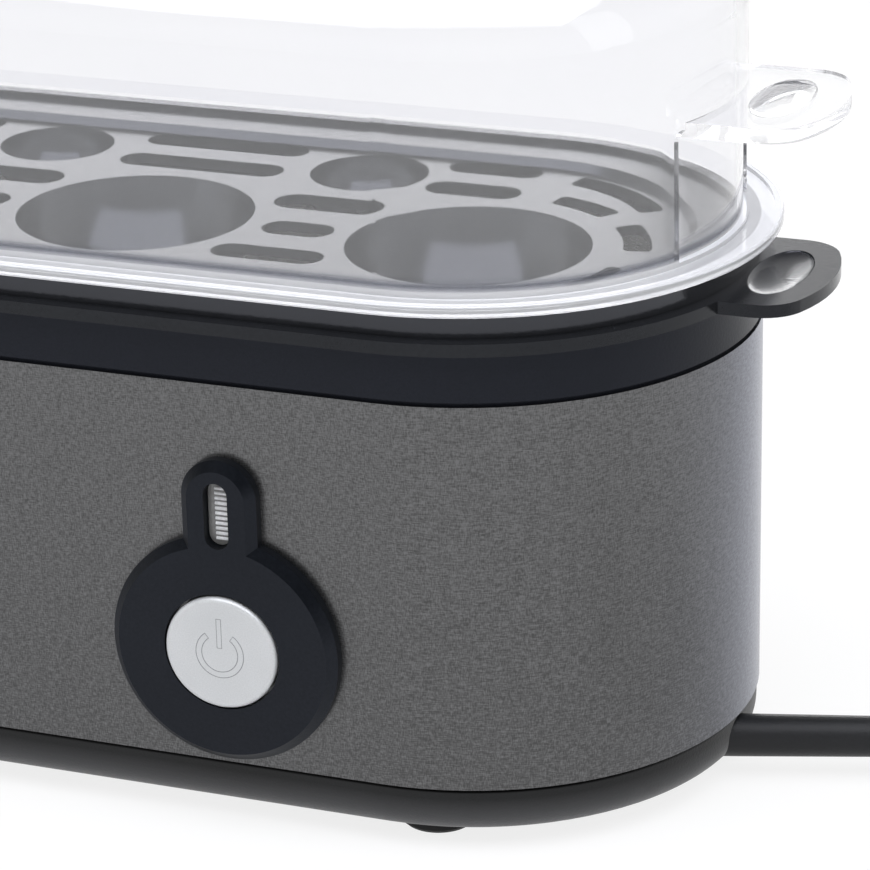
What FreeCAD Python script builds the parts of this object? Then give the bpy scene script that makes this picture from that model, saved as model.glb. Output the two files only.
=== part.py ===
import FreeCAD, Part
import math
import os
import re
import Sketcher

# Household egg cooker for seven eggs: long stadium plan, +Z up, origin under the middle
# of the housing on the surface it stands on, front with the power button towards -Y.

SIZES = {
    # plan of the housing and height of the steel band
    "cup_pitch": 64,
    "end_cup_step": 2,
    "foot_height": 3,
    "shell_bottom": 12.5,
    "shell_height": 71.2,
    "shell_thickness": 0.6,
    "shell_hem": 1.9,
    "fit_gap": 0.3,
    "cut_over": 5,
    # base pan
    "base_step": 0.5,
    "base_round": 5.5,
    "base_chamfer": 0.4,
    "base_floor": 2.5,
    "base_wall": 2.5,
    "base_lip": 6,
    "vent_length": 26,
    "vent_width": 3,
    "vent_pitch": 9,
    "column_x": 42,
    "column_radius": 5,
    "column_top": 30,
    "screw_radius": 2,
    "screw_head_radius": 4,
    "screw_head_depth": 14,
    # rubber feet
    "foot_radius": 7.1,
    "foot_seat": 1,
    "foot_step": 5,
    "foot_y": 37,
    "foot_edge": 0.8,
    # collar ring
    "collar_gap": 0.8,
    "collar_step": 0.1,
    "collar_height": 8.9,
    "collar_lean": 5.1,
    "collar_wall": 2,
    "collar_neck": 1,
    "collar_skirt": 12,
    "ledge_width": 5.2,
    "ledge_depth": 7.4,
    "ledge_thickness": 2,
    # heated water bowl and its seal
    "bowl_gap": 1.5,
    "bowl_floor": 66,
    "bowl_round": 6,
    "bowl_thickness": 0.6,
    "seal_thickness": 0.8,
    "seal_margin": 0.5,
    # egg tray
    "tray_flange_reach": 2.65,
    "tray_flange": 2.3,
    "tray_skirt_step": 0.45,
    "tray_rim_height": 4.9,
    "tray_rim_wall": 2.55,
    "tray_ledge_drop": 1,
    "tray_plate_drop": 2.4,
    "plate_margin": 7.9,
    "tray_ledge_width": 10.2,
    "tray_thickness": 2,
    "plate_flare": 45,
    "tray_skirt_depth": 3,
    "cup_radius": 21.7,
    "cup_y": 8.4,
    "cup_depth": 14,
    "cup_hole_radius": 11,
    "cup_curve": 21,
    "cup_wall": 1.6,
    "small_cup_radius": 10.9,
    "small_cup_y": 25.5,
    "small_cup_depth": 8,
    "small_cup_hole": 6.5,
    "small_cup_curve": 11,
    "slot_a_y": 5.9,
    "slot_a_length": 21,
    "slot_a_width": 8.2,
    "slot_b_y": 8.9,
    "slot_b_length": 13.5,
    "slot_b_width": 7.4,
    "slot_c_y": 23,
    "slot_c_length": 21,
    "slot_c_width": 7.1,
    "slot_d_y": 21.2,
    "slot_d_length": 33,
    "slot_d_width": 7.4,
    "slot_e_step": 4.1,
    "slot_e_width": 6.6,
    "slot_f_back": 8,
    "slot_f_length": 18.5,
    "ring_slot_gap": 5.3,
    "ring_slot_width": 5,
    "front_slot_width": 2.8,
    "rim_slot_margin": 2.2,
    "rim_slot_width": 5.2,
    "slot_corner": 1.2,
    # where the curved slots start and how far they turn, in degrees
    "ring_slot_a_start": 51,
    "ring_slot_a_sweep": 26,
    "ring_slot_b_start": 10,
    "ring_slot_b_sweep": 28,
    "front_slot_start": -34,
    "front_slot_sweep": 26,
    "rim_slot_start": 34,
    "rim_slot_sweep": 41,
    # lifting tabs of tray and lid
    "tray_tab_length": 12.6,
    "tray_tab_half": 17.9,
    "lid_tab_length": 12.5,
    "lid_tab_half": 18.6,
    "lid_tab_rise": 26.4,
    "lid_tab_thickness": 2.6,
    "tab_bow": 34,
    "tab_corner": 8,
    "dimple_back": 9.6,
    "dimple_length": 10.2,
    "dimple_width": 24,
    "dimple_depth": 1.3,
    # clear lid
    "lid_height": 54.4,
    "lid_step": 2.05,
    "lid_lean": 0.5,
    "lid_wall": 2.2,
    "lid_round": 14,
    "lid_flange_reach": 6.1,
    "lid_flange": 1.4,
    "lid_bead": 1.5,
    "lid_bead_height": 0.8,
    "lid_edge": 0.6,
    "lid_foot_gap": 0.3,
    "pocket_half": 20.3,
    "pocket_depth": 1.2,
    "pocket_round": 2,
    "vent_hole_radius": 2.5,
    "vent_hole_x": 18,
    # keyhole control plate, button and lamp
    "control_x": 65.9,
    "plate_z": 35.3,
    "plate_radius": 21.2,
    "plate_neck_half": 7,
    "plate_neck_z": 63.6,
    "plate_thickness": 3.4,
    "plate_bevel": 1.6,
    "stud_x": 15,
    "stud_drop": 8,
    "stud_radius": 1.5,
    "button_radius": 10.45,
    "button_gap": 0.4,
    "button_proud": 0.8,
    "button_edge": 0.9,
    "button_flange": 1.4,
    "button_flange_radius": 11.9,
    "button_stem_radius": 2.5,
    "button_stem": 7.4,
    "button_travel": 2.5,
    "window_z": 60.8,
    "window_half": 3.85,
    "window_radius": 2.25,
    "lens_gap": 0.1,
    "lens_recess": 1.3,
    "lens_margin": 1.4,
    "lens_rib_pitch": 1.5,
    "lens_rib_radius": 0.45,
    "bracket_half": 22,
    "bracket_bottom": 19.5,
    "bracket_top": 71,
    "bracket_thickness": 2,
    "switch_half": 9,
    "switch_front": 45,
    "switch_length": 20,
    "switch_pin": 5,
    "lamp_radius": 3.2,
    "lamp_dome": 2.6,
    "lamp_length": 12,
    "lamp_seat": 6.5,
    # heating parts under the bowl
    "heater_radius": 3.2,
    "heater_bend": 14,
    "heater_half": 62,
    "heater_pin_radius": 1.4,
    "heater_pin": 10,
    "thermostat_radius": 8,
    "thermostat_height": 9,
    "fuse_radius": 2,
    "fuse_length": 12,
    "fuse_x": 26,
    "shield_length": 96,
    "shield_z": 42,
    "shield_edge": 6,
    "sheet_thickness": 0.8,
    "strap_width": 12,
    "strap_half": 22,
    # mains entry
    "cord_radius": 3.5,
    "cord_y": 4,
    "cord_z": 7.8,
    "cord_turn": 16.5,
    "gland_radius": 3.9,
    "gland_end_radius": 3.7,
    "gland_reach": 26,
    "gland_collar": 1.6,
    "terminal_x": 102,
    "terminal_y": 14.3,
    "terminal_seat": 3,
    "terminal_length": 16,
    "terminal_width": 27,
    "terminal_height": 12,
    "clamp_back": 24,
    "clamp_length": 8,
    "clamp_width": 26,
    "clamp_height": 10,
    "lead_radius": 1.3,
    "lead_bend": 3.2,
    "lead_loop": 11,
    # cord on the surface and its plug
    "coil_x": 229,
    "coil_y": -30,
    "coil_outer": 46.5,
    "coil_gap": 0.5,
    "plug_radius": 18.5,
    "plug_length": 52,
    "plug_boot_radius": 6,
    "plug_tip_radius": 4.2,
    "plug_boot": 20,
    "plug_pitch": 8,
    "plug_turn": 11.5,
    "tail_run": 6,
    "pin_radius": 2.4,
    "pin_length": 19,
    "pin_step": 9.5,
}

# heights and radii that follow from the sizes above
DERIVED = {
    "end_x": "1.5 * cup_pitch - end_cup_step",
    "tray_plate_radius": "cup_y + cup_radius + plate_margin",
    "tray_rim_inner": "tray_plate_radius + tray_ledge_width",
    "tray_skirt_radius": "tray_rim_inner + tray_rim_wall",
    "tray_flange_radius": "tray_skirt_radius + tray_flange_reach",
    "collar_radius": "tray_skirt_radius + tray_skirt_step",
    "shell_radius": "collar_radius + collar_step",
    "base_radius": "shell_radius - base_step",
    "lid_radius": "tray_skirt_radius - lid_step",
    "lid_flange_radius": "lid_radius + lid_flange_reach",
    "tray_tab_reach": "tray_flange_radius + tray_tab_length",
    "lid_tab_reach": "lid_flange_radius + lid_tab_length",
    "dimple_x": "tray_tab_reach - dimple_back",
    "ring_slot_in": "cup_radius + ring_slot_gap",
    "ring_slot_out": "ring_slot_in + ring_slot_width",
    "front_slot_out": "ring_slot_in + front_slot_width",
    "rim_slot_out": "tray_plate_radius - rim_slot_margin",
    "rim_slot_in": "rim_slot_out - rim_slot_width",
    "slot_e_y": "tray_plate_radius - slot_e_step",
    "shell_top": "shell_bottom + shell_height",
    "shell_inner": "shell_radius - shell_thickness",
    "lip_radius": "shell_inner - shell_hem - fit_gap",
    "pan_radius": "lip_radius - base_wall",
    "pan_floor": "foot_height + base_floor",
    "collar_bottom": "shell_top + collar_gap",
    "collar_top": "collar_bottom + collar_height",
    "collar_skirt_radius": "shell_radius - shell_hem - fit_gap - shell_thickness",
    "collar_inner": "collar_radius - collar_wall",
    "ledge_radius": "collar_inner - ledge_width",
    "bowl_radius": "ledge_radius - bowl_gap",
    "ledge_top": "collar_top - ledge_depth",
    "bowl_rim": "ledge_top + seal_thickness",
    "tray_tab_top": "collar_top + tray_flange",
    "tray_top": "tray_tab_top + tray_rim_height",
    "tray_ledge": "tray_top - tray_ledge_drop",
    "plate_top": "tray_top - tray_plate_drop",
    "plate_bottom": "plate_top - tray_thickness",
    "lid_top": "tray_top + lid_height",
    "lid_tab_top": "tray_top + lid_tab_rise",
    "lid_inner": "lid_radius - lid_wall",
    "shield_half": "strap_half - sheet_thickness",
    "exit_x": "end_x + base_radius",
    "gland_back": "base_radius - pan_radius + gland_collar",
    "cord_back": "(exit_x - terminal_x - terminal_length / 2 + terminal_seat) / cos(cord_turn)",
    "terminal_left": "terminal_x - terminal_length / 2",
    "terminal_step": "terminal_width / 3",
    "terminal_z": "pan_floor + terminal_height / 2",
    "pole": "switch_half / 2",
    "switch_back": "switch_front - switch_length - switch_pin",
    "lamp_back": "shell_inner - lamp_length",
    "element_x": "heater_half + heater_pin",
    "element_z": "bowl_floor - heater_radius",
    "tag_z": "bowl_floor - thermostat_height - switch_pin",
    "front_face": "shell_radius + plate_thickness",
}

doc = FreeCAD.newDocument("EggCooker")
sheet = doc.addObject("Spreadsheet::Sheet", "Sizes")
for row, (name, size) in enumerate(SIZES.items(), 1):
    sheet.set("A%d" % row, name)
    sheet.set("B%d" % row, str(size))
    sheet.setAlias("B%d" % row, name)
for row, (name, formula) in enumerate(DERIVED.items(), len(SIZES) + 2):
    sheet.set("A%d" % row, name)
    sheet.set("B%d" % row, "=" + formula)
    sheet.setAlias("B%d" % row, name)
doc.recompute()

KNOWN = set(SIZES) | set(DERIVED)
Vector = FreeCAD.Vector
UP = Vector(0, 0, 1)


def value(formula):
    return float(sheet.evalExpression(formula))


def bind(item, prop, formula):
    text = re.sub(r"[a-z]\w*", lambda m: "Sizes." + m.group(0) if m.group(0) in KNOWN else m.group(0), formula)
    item.setExpression(prop, text)


def body(name):
    item = doc.addObject("PartDesign::Body", name)
    item.Label = name
    return item


def plane(item, role):
    return [feature for feature in item.Origin.OriginFeatures if feature.Role == role][0]


# a sketch on an origin plane, moved along the plane's normal and within it, and turned about its upright
def sketch(item, role="XY_Plane", offset=None, side=None, turn=None):
    made = item.newObject("Sketcher::SketchObject", item.Name + "_sketch")
    made.AttachmentSupport = [(plane(item, role), "")]
    made.MapMode = "FlatFace"
    if turn:
        made.AttachmentOffset = FreeCAD.Placement(Vector(), FreeCAD.Rotation(Vector(0, 1, 0), value(turn)))
        bind(made, "AttachmentOffset.Rotation.Angle", turn)
    if offset:
        bind(made, "AttachmentOffset.Base.z", offset)
    if side:
        for axis, formula in zip("xy", side):
            bind(made, "AttachmentOffset.Base." + axis, formula)
    return made


# holds one point of a sketch at bound coordinates
def hold(made, index, point, x, y):
    for kind, formula, axis in (("DistanceX", x, -2), ("DistanceY", y, -1)):
        size = value(formula)
        if abs(size) < 1e-9:
            made.addConstraint(Sketcher.Constraint("PointOnObject", index, point, axis))
        elif size > 0:
            number = made.addConstraint(Sketcher.Constraint(kind, -1, 1, index, point, size))
            bind(made, "Constraints[%d]" % number, formula)
        else:
            number = made.addConstraint(Sketcher.Constraint(kind, index, point, -1, 1, -size))
            bind(made, "Constraints[%d]" % number, "-(%s)" % formula)


def hold_radius(made, index, formula):
    number = made.addConstraint(Sketcher.Constraint("Radius", index, value(formula)))
    bind(made, "Constraints[%d]" % number, formula)


def circle(made, x, y, radius):
    index = made.addGeometry(Part.Circle(Vector(value(x), value(y), 0), UP, value(radius)), False)
    hold_radius(made, index, radius)
    hold(made, index, 3, x, y)
    return made


# closed outline through bound corner points
def polygon(made, corners):
    spots = [Vector(value(x), value(y), 0) for x, y in corners]
    first = made.GeometryCount
    count = len(spots)
    for i in range(count):
        made.addGeometry(Part.LineSegment(spots[i], spots[(i + 1) % count]), False)
    for i in range(count):
        made.addConstraint(Sketcher.Constraint("Coincident", first + i, 2, first + (i + 1) % count, 1))
    for i, (x, y) in enumerate(corners):
        hold(made, first + i, 1, x, y)
    return made


def box(made, x0, y0, x1, y1):
    return polygon(made, [(x0, y0), (x1, y0), (x1, y1), (x0, y1)])


# rounded slot between two arc centres, lying along the sketch's x or y axis
def slot(made, half, radius, x="0", y="0", upright=False):
    step = (0, 1) if upright else (1, 0)
    cx, cy, reach, r = value(x), value(y), value(half), value(radius)
    first = made.GeometryCount
    start = 0 if upright else -math.pi / 2
    ends = [Vector(cx + sign * reach * step[0], cy + sign * reach * step[1], 0) for sign in (1, -1)]
    across = Vector(-step[1], step[0], 0) * r
    made.addGeometry(Part.ArcOfCircle(Part.Circle(ends[0], UP, r), start, start + math.pi), False)
    made.addGeometry(Part.LineSegment(ends[0] + across, ends[1] + across), False)
    made.addGeometry(Part.ArcOfCircle(Part.Circle(ends[1], UP, r), start + math.pi, start + 2 * math.pi), False)
    made.addGeometry(Part.LineSegment(ends[1] - across, ends[0] - across), False)
    for i in range(4):
        made.addConstraint(Sketcher.Constraint("Tangent", first + i, 2, first + (i + 1) % 4, 1))
    made.addConstraint(Sketcher.Constraint("Equal", first, first + 2))
    hold_radius(made, first, radius)
    for index, sign in ((first, "+"), (first + 2, "-")):
        if upright:
            hold(made, index, 3, x, "%s %s (%s)" % (y, sign, half))
        else:
            hold(made, index, 3, "%s %s (%s)" % (x, sign, half), y)
    return made


def feature(item, kind, profile, length=None, back=False, lean=None):
    made = item.newObject("PartDesign::" + kind, item.Name + "_" + kind.lower())
    made.Profile = profile
    if length:
        bind(made, "Length", length)
    made.Reversed = back
    if lean:
        bind(made, "TaperAngle", lean)
    return made


# stadium shaped prism around the housing's middle
def stadium(item, kind, radius, low, high, lean=None):
    made = slot(sketch(item, offset=low), "end_x", radius)
    return feature(item, kind, made, "(%s) - (%s)" % (high, low), kind == "Pocket", lean)


def turned(item, kind, profile, angle=360):
    made = item.newObject("PartDesign::" + kind, item.Name + "_" + kind.lower())
    made.Profile = profile
    made.ReferenceAxis = (profile, ["V_Axis"])
    made.Angle = angle
    return made


def row_of(item, originals, count, span, direction=None):
    made = item.newObject("PartDesign::LinearPattern", item.Name + "_row")
    made.Originals = originals
    made.Direction = direction or (originals[0].Profile[0], ["H_Axis"])
    bind(made, "Length", span)
    made.Occurrences = count
    item.Tip = made
    return made


def mirrored(item, originals, role="YZ_Plane"):
    made = item.newObject("PartDesign::Mirrored", item.Name + "_mirrored")
    made.Originals = originals
    made.MirrorPlane = (plane(item, role), [""])
    item.Tip = made
    return made


# a row of copies may need a second pass after its original
def settle():
    for _ in range(12):
        doc.recompute()
        if not any("Invalid" in item.State for item in doc.Objects):
            return


def edges(item, test):
    settle()
    found = [i for i, edge in enumerate(item.Shape.Edges, 1) if test(edge.BoundBox)]
    return ["Edge%d" % i for i in found]


def rounded(item, kind, base, size, test):
    made = item.newObject("PartDesign::" + kind, item.Name + "_" + kind.lower())
    made.Base = (base, edges(base, test))
    bind(made, "Radius" if kind == "Fillet" else "Size", size)
    return made


# largest difference that still counts as the same place
SMALL = 0.01


def near(a, b):
    return abs(a - b) < SMALL


def level(formula):
    height = value(formula)
    return lambda bound: near(bound.ZMin, height) and near(bound.ZMax, height)


def cut(name, solid, tool):
    made = doc.addObject("Part::Cut", name)
    made.Base = solid
    made.Tool = tool
    made.Label = name
    return made


# plain solid of the document whose shape is made from the sheet's sizes
def solid(name, shape):
    made = doc.addObject("Part::Feature", name)
    made.Label = name
    made.Shape = shape
    return made


# route of straight runs joined by tangent arcs, as one wire
def route(points, share=0.45, radius=None):
    lines = []
    radii = []
    start = points[0]
    for i in range(1, len(points) - 1):
        before = points[i] - points[i - 1]
        after = points[i + 1] - points[i]
        into = Vector(before).normalize()
        out = Vector(after).normalize()
        half = into.getAngle(out) / 2
        reach = radius * math.tan(half) if radius else share * min(before.Length, after.Length)
        bend = reach / math.tan(half)
        middle = points[i] + (out - into).normalize() * (bend / math.cos(half) - bend)
        first = points[i] - into * reach
        last = points[i] + out * reach
        lines.append(Part.LineSegment(start, first).toShape())
        lines.append(Part.Arc(first, middle, last).toShape())
        radii.append(bend)
        start = last
    lines.append(Part.LineSegment(start, points[-1]).toShape())
    return Part.Wire(lines), radii


def tube(path, radius):
    first = path.Edges[0]
    direction = first.tangentAt(first.FirstParameter)
    ring = Part.Wire(Part.Circle(first.valueAt(first.FirstParameter), direction, radius).toShape())
    return path.makePipeShell([ring], True, False)


# outline of a lifting tab: wall side on an arc about the end of the housing, bowed outer edge
def tab(item, inner, half, reach, low, high):
    made = sketch(item, offset=low)
    end, hub, bow = value("end_x"), value(inner), value("tab_bow")
    wide, far = value(half), value("end_x") + value(reach)
    back = math.asin(wide / hub)
    front = math.asin(wide / bow)
    inside = Vector(end + hub * math.cos(back), wide, 0)
    outside = Vector(far - bow + bow * math.cos(front), wide, 0)
    flip = lambda spot: Vector(spot.x, -spot.y, 0)
    made.addGeometry(Part.ArcOfCircle(Part.Circle(Vector(end, 0, 0), UP, hub), -back, back), False)
    made.addGeometry(Part.LineSegment(inside, outside), False)
    made.addGeometry(Part.ArcOfCircle(Part.Circle(Vector(far - bow, 0, 0), UP, bow), -front, front), False)
    made.addGeometry(Part.LineSegment(flip(outside), flip(inside)), False)
    for a, pa, b, pb in ((0, 2, 1, 1), (1, 2, 2, 2), (2, 1, 3, 1), (3, 2, 0, 1)):
        made.addConstraint(Sketcher.Constraint("Coincident", a, pa, b, pb))
    for index in (1, 3):
        made.addConstraint(Sketcher.Constraint("Horizontal", index))
    hold(made, 0, 3, "end_x", "0")
    hold(made, 2, 3, "end_x + %s - tab_bow" % reach, "0")
    hold_radius(made, 0, inner)
    hold_radius(made, 2, "tab_bow")
    for spot, sign in ((2, 1), (1, -1)):
        ends = (-1, 1, 0, spot) if sign > 0 else (0, spot, -1, 1)
        number = made.addConstraint(Sketcher.Constraint("DistanceY", *ends, wide))
        bind(made, "Constraints[%d]" % number, half)
    return feature(item, "Pad", made, "(%s) - (%s)" % (high, low))


# both tabs with rounded outer corners, each with an oval thumb hollow
def tabs(item, inner, half, reach, low, high):
    pad = tab(item, inner, half, reach, low, high)
    pair = mirrored(item, [pad])
    corner = value("end_x") + value(inner) + value("tab_corner")
    wide = value(half)
    test = lambda bound: (bound.ZLength > value("tray_flange") / 2 and bound.XLength < SMALL
                          and abs(bound.XMin) > corner and near(abs(bound.YMin), wide))
    soft = rounded(item, "Fillet", pair, "tab_corner", test)
    for sign in (1, -1):
        made = item.newObject("PartDesign::SubtractiveEllipsoid", item.Name + "_dimple")
        made.AttachmentSupport = [(plane(item, "XY_Plane"), "")]
        made.MapMode = "FlatFace"
        bind(made, "AttachmentOffset.Base.x", "%d * (end_x + dimple_x)" % sign)
        bind(made, "AttachmentOffset.Base.z", high)
        bind(made, "Radius1", "dimple_depth")
        bind(made, "Radius2", "dimple_length / 2")
        bind(made, "Radius3", "dimple_width / 2")
    return soft


# sketch square to the mains lead's axis, at a distance inwards from the wall opening
def across_lead(item, back):
    side = ("-cord_y - (%s) * sin(cord_turn)" % back, "0")
    return sketch(item, "YZ_Plane", "exit_x - (%s) * cos(cord_turn)" % back, side, "cord_turn")


# Base pan: black moulding, rounded below, with an upstanding lip inside the steel band
def base_pan():
    item = body("base")
    outer = stadium(item, "Pad", "base_radius", "foot_height", "shell_bottom")
    soft = rounded(item, "Fillet", outer, "base_round", level("foot_height"))
    rounded(item, "Chamfer", soft, "base_chamfer", level("shell_bottom"))
    stadium(item, "Pad", "lip_radius", "shell_bottom", "shell_bottom + base_lip")
    stadium(item, "Pocket", "pan_radius", "pan_floor", "shell_bottom + base_lip + cut_over")
    made = sketch(item, offset="pan_floor")
    for side in ("", "-"):
        circle(made, side + "column_x", "0", "column_radius")
    feature(item, "Pad", made, "column_top - pan_floor")
    made = sketch(item, offset="foot_height")
    for side in ("", "-"):
        circle(made, side + "column_x", "0", "screw_head_radius")
    feature(item, "Pocket", made, "screw_head_depth", True)
    made = sketch(item, offset="foot_height")
    for side in ("", "-"):
        circle(made, side + "column_x", "0", "screw_radius")
    feature(item, "Pocket", made, "column_top + cut_over", True)
    made = sketch(item, offset="foot_height")
    for x in ("end_x + foot_step", "-(end_x + foot_step)"):
        for y in ("foot_y", "-foot_y"):
            circle(made, x, y, "foot_radius + fit_gap / 2")
    feature(item, "Pocket", made, "foot_seat", True)
    made = slot(sketch(item, offset="foot_height"), "vent_length / 2", "vent_width / 2", "0", "-2 * vent_pitch")
    vent = feature(item, "Pocket", made, "base_floor", True)
    row_of(item, [vent], 5, "4 * vent_pitch", (made, ["V_Axis"]))
    # channel and wall opening for the mains lead
    made = circle(across_lead(item, "cord_back"), "0", "cord_z", "gland_radius + fit_gap / 4")
    feature(item, "Pocket", made, "cord_back + cut_over", True)
    return item


# Four rubber feet pressed into round seats under the pan
def foot(name, x, y):
    item = body(name)
    pad = feature(item, "Pad", circle(sketch(item), x, y, "foot_radius"), "foot_height + foot_seat")
    rounded(item, "Chamfer", pad, "foot_edge", level("0"))


# Steel band: thin brushed sheet, hemmed inwards along both edges, with openings for the control
def shell():
    item = body("steel_shell")
    stadium(item, "Pad", "shell_radius", "shell_bottom", "shell_top")
    stadium(item, "Pocket", "shell_inner - shell_hem", "shell_bottom - cut_over", "shell_top + cut_over")
    made = slot(sketch(item, offset="shell_bottom + shell_thickness"), "end_x", "shell_inner")
    feature(item, "Pocket", made, "shell_height - 2 * shell_thickness", True)
    made = circle(sketch(item, "XZ_Plane", "shell_inner - cut_over"), "control_x", "plate_z",
                  "button_flange_radius + 2 * fit_gap")
    slot(made, "window_half", "window_radius + lens_margin + fit_gap", "control_x", "window_z", True)
    for x in ("control_x - stud_x", "control_x + stud_x"):
        circle(made, x, "plate_z - stud_drop", "stud_radius + fit_gap")
    feature(item, "Pocket", made, "2 * cut_over", True)
    return item


# Collar: black ring above the band that carries the bowl and the tray
def collar():
    item = body("collar")
    stadium(item, "Pad", "collar_skirt_radius", "shell_top - collar_skirt", "shell_top")
    stadium(item, "Pad", "shell_radius - collar_neck", "shell_top", "collar_bottom")
    stadium(item, "Pad", "collar_radius", "collar_bottom", "collar_top", "-collar_lean")
    stadium(item, "Pocket", "collar_inner", "ledge_top", "collar_top + cut_over")
    stadium(item, "Pocket", "ledge_radius", "shell_top - collar_skirt - cut_over", "collar_top")
    stadium(item, "Pocket", "collar_skirt_radius - collar_wall", "shell_top - collar_skirt - cut_over",
            "ledge_top - ledge_thickness")
    return item


# Water bowl: pressed stainless pan with a flat rim
def bowl():
    item = body("bowl_outer")
    pan = stadium(item, "Pad", "bowl_radius", "bowl_floor", "bowl_rim")
    rounded(item, "Fillet", pan, "bowl_round", level("bowl_floor"))
    stadium(item, "Pad", "collar_inner - 2 * fit_gap", "bowl_rim", "bowl_rim + bowl_thickness")
    hollow = body("bowl_hollow")
    pan = stadium(hollow, "Pad", "bowl_radius - bowl_thickness", "bowl_floor + bowl_thickness",
                  "bowl_rim + cut_over")
    rounded(hollow, "Fillet", pan, "bowl_round - bowl_thickness", level("bowl_floor + bowl_thickness"))
    return cut("water_bowl", item, hollow)


def ring_of(name, outer, inner, low, high):
    item = body(name)
    stadium(item, "Pad", outer, low, high)
    stadium(item, "Pocket", inner, "%s - cut_over" % low, "%s + cut_over" % high)
    return item


# a bowl shaped cup: opening in the plate with a curved wall down to an open bottom
def cup(item, x, y, radius, depth, hole, curve):
    seat = circle(sketch(item, offset="plate_bottom"), x, y, radius)
    opening = feature(item, "Pocket", seat, "tray_thickness + cut_over", True)
    made = sketch(item, "XZ_Plane", "-(%s)" % y, side=(x, "0"))
    top, low = value("plate_top"), value("plate_top") - value(depth)
    wide, tight, bend, wall = value(radius), value(hole), value(curve), value("cup_wall")
    chord = Vector(wide - tight, value(depth), 0)
    middle = Vector((wide + tight) / 2, (top + low) / 2, 0)
    normal = Vector(-chord.y, chord.x, 0).normalize()
    centre = middle + normal * math.sqrt(bend ** 2 - (chord.Length / 2) ** 2)
    angle = lambda spot: math.atan2(spot.y - centre.y, spot.x - centre.x)
    inner = (Vector(tight, low, 0), Vector(wide, top, 0))
    ends = []
    for spot, height in zip(inner, (low, top)):
        rise = height - centre.y
        ends.append(Vector(centre.x + math.sqrt((bend + wall) ** 2 - rise ** 2), height, 0))
    made.addGeometry(Part.ArcOfCircle(Part.Circle(centre, UP, bend), angle(inner[0]), angle(inner[1])), False)
    made.addGeometry(Part.LineSegment(inner[1], ends[1]), False)
    made.addGeometry(Part.ArcOfCircle(Part.Circle(centre, UP, bend + wall), angle(ends[0]), angle(ends[1])), False)
    made.addGeometry(Part.LineSegment(ends[0], inner[0]), False)
    for a, pa, b, pb in ((0, 2, 1, 1), (1, 2, 2, 2), (2, 1, 3, 1), (3, 2, 0, 1), (0, 3, 2, 3)):
        made.addConstraint(Sketcher.Constraint("Coincident", a, pa, b, pb))
    for index in (1, 3):
        made.addConstraint(Sketcher.Constraint("Horizontal", index))
    hold(made, 0, 1, hole, "plate_top - %s" % depth)
    hold(made, 0, 2, radius, "plate_top")
    hold_radius(made, 0, curve)
    hold_radius(made, 2, "%s + cup_wall" % curve)
    return opening, turned(item, "Revolution", made)


# a slot on an arc about a point of the plan, cut through the tray plate
def arc_slot(item, x, y, inner, outer, name):
    made = sketch(item, "XZ_Plane", "-(%s)" % y, side=(x, "0"), turn=name + "_start")
    box(made, inner, "plate_bottom - cut_over / 2", outer, "plate_top + cut_over / 2")
    made = turned(item, "Groove", made)
    bind(made, "Angle", name + "_sweep")
    made.Reversed = False
    return made


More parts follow.
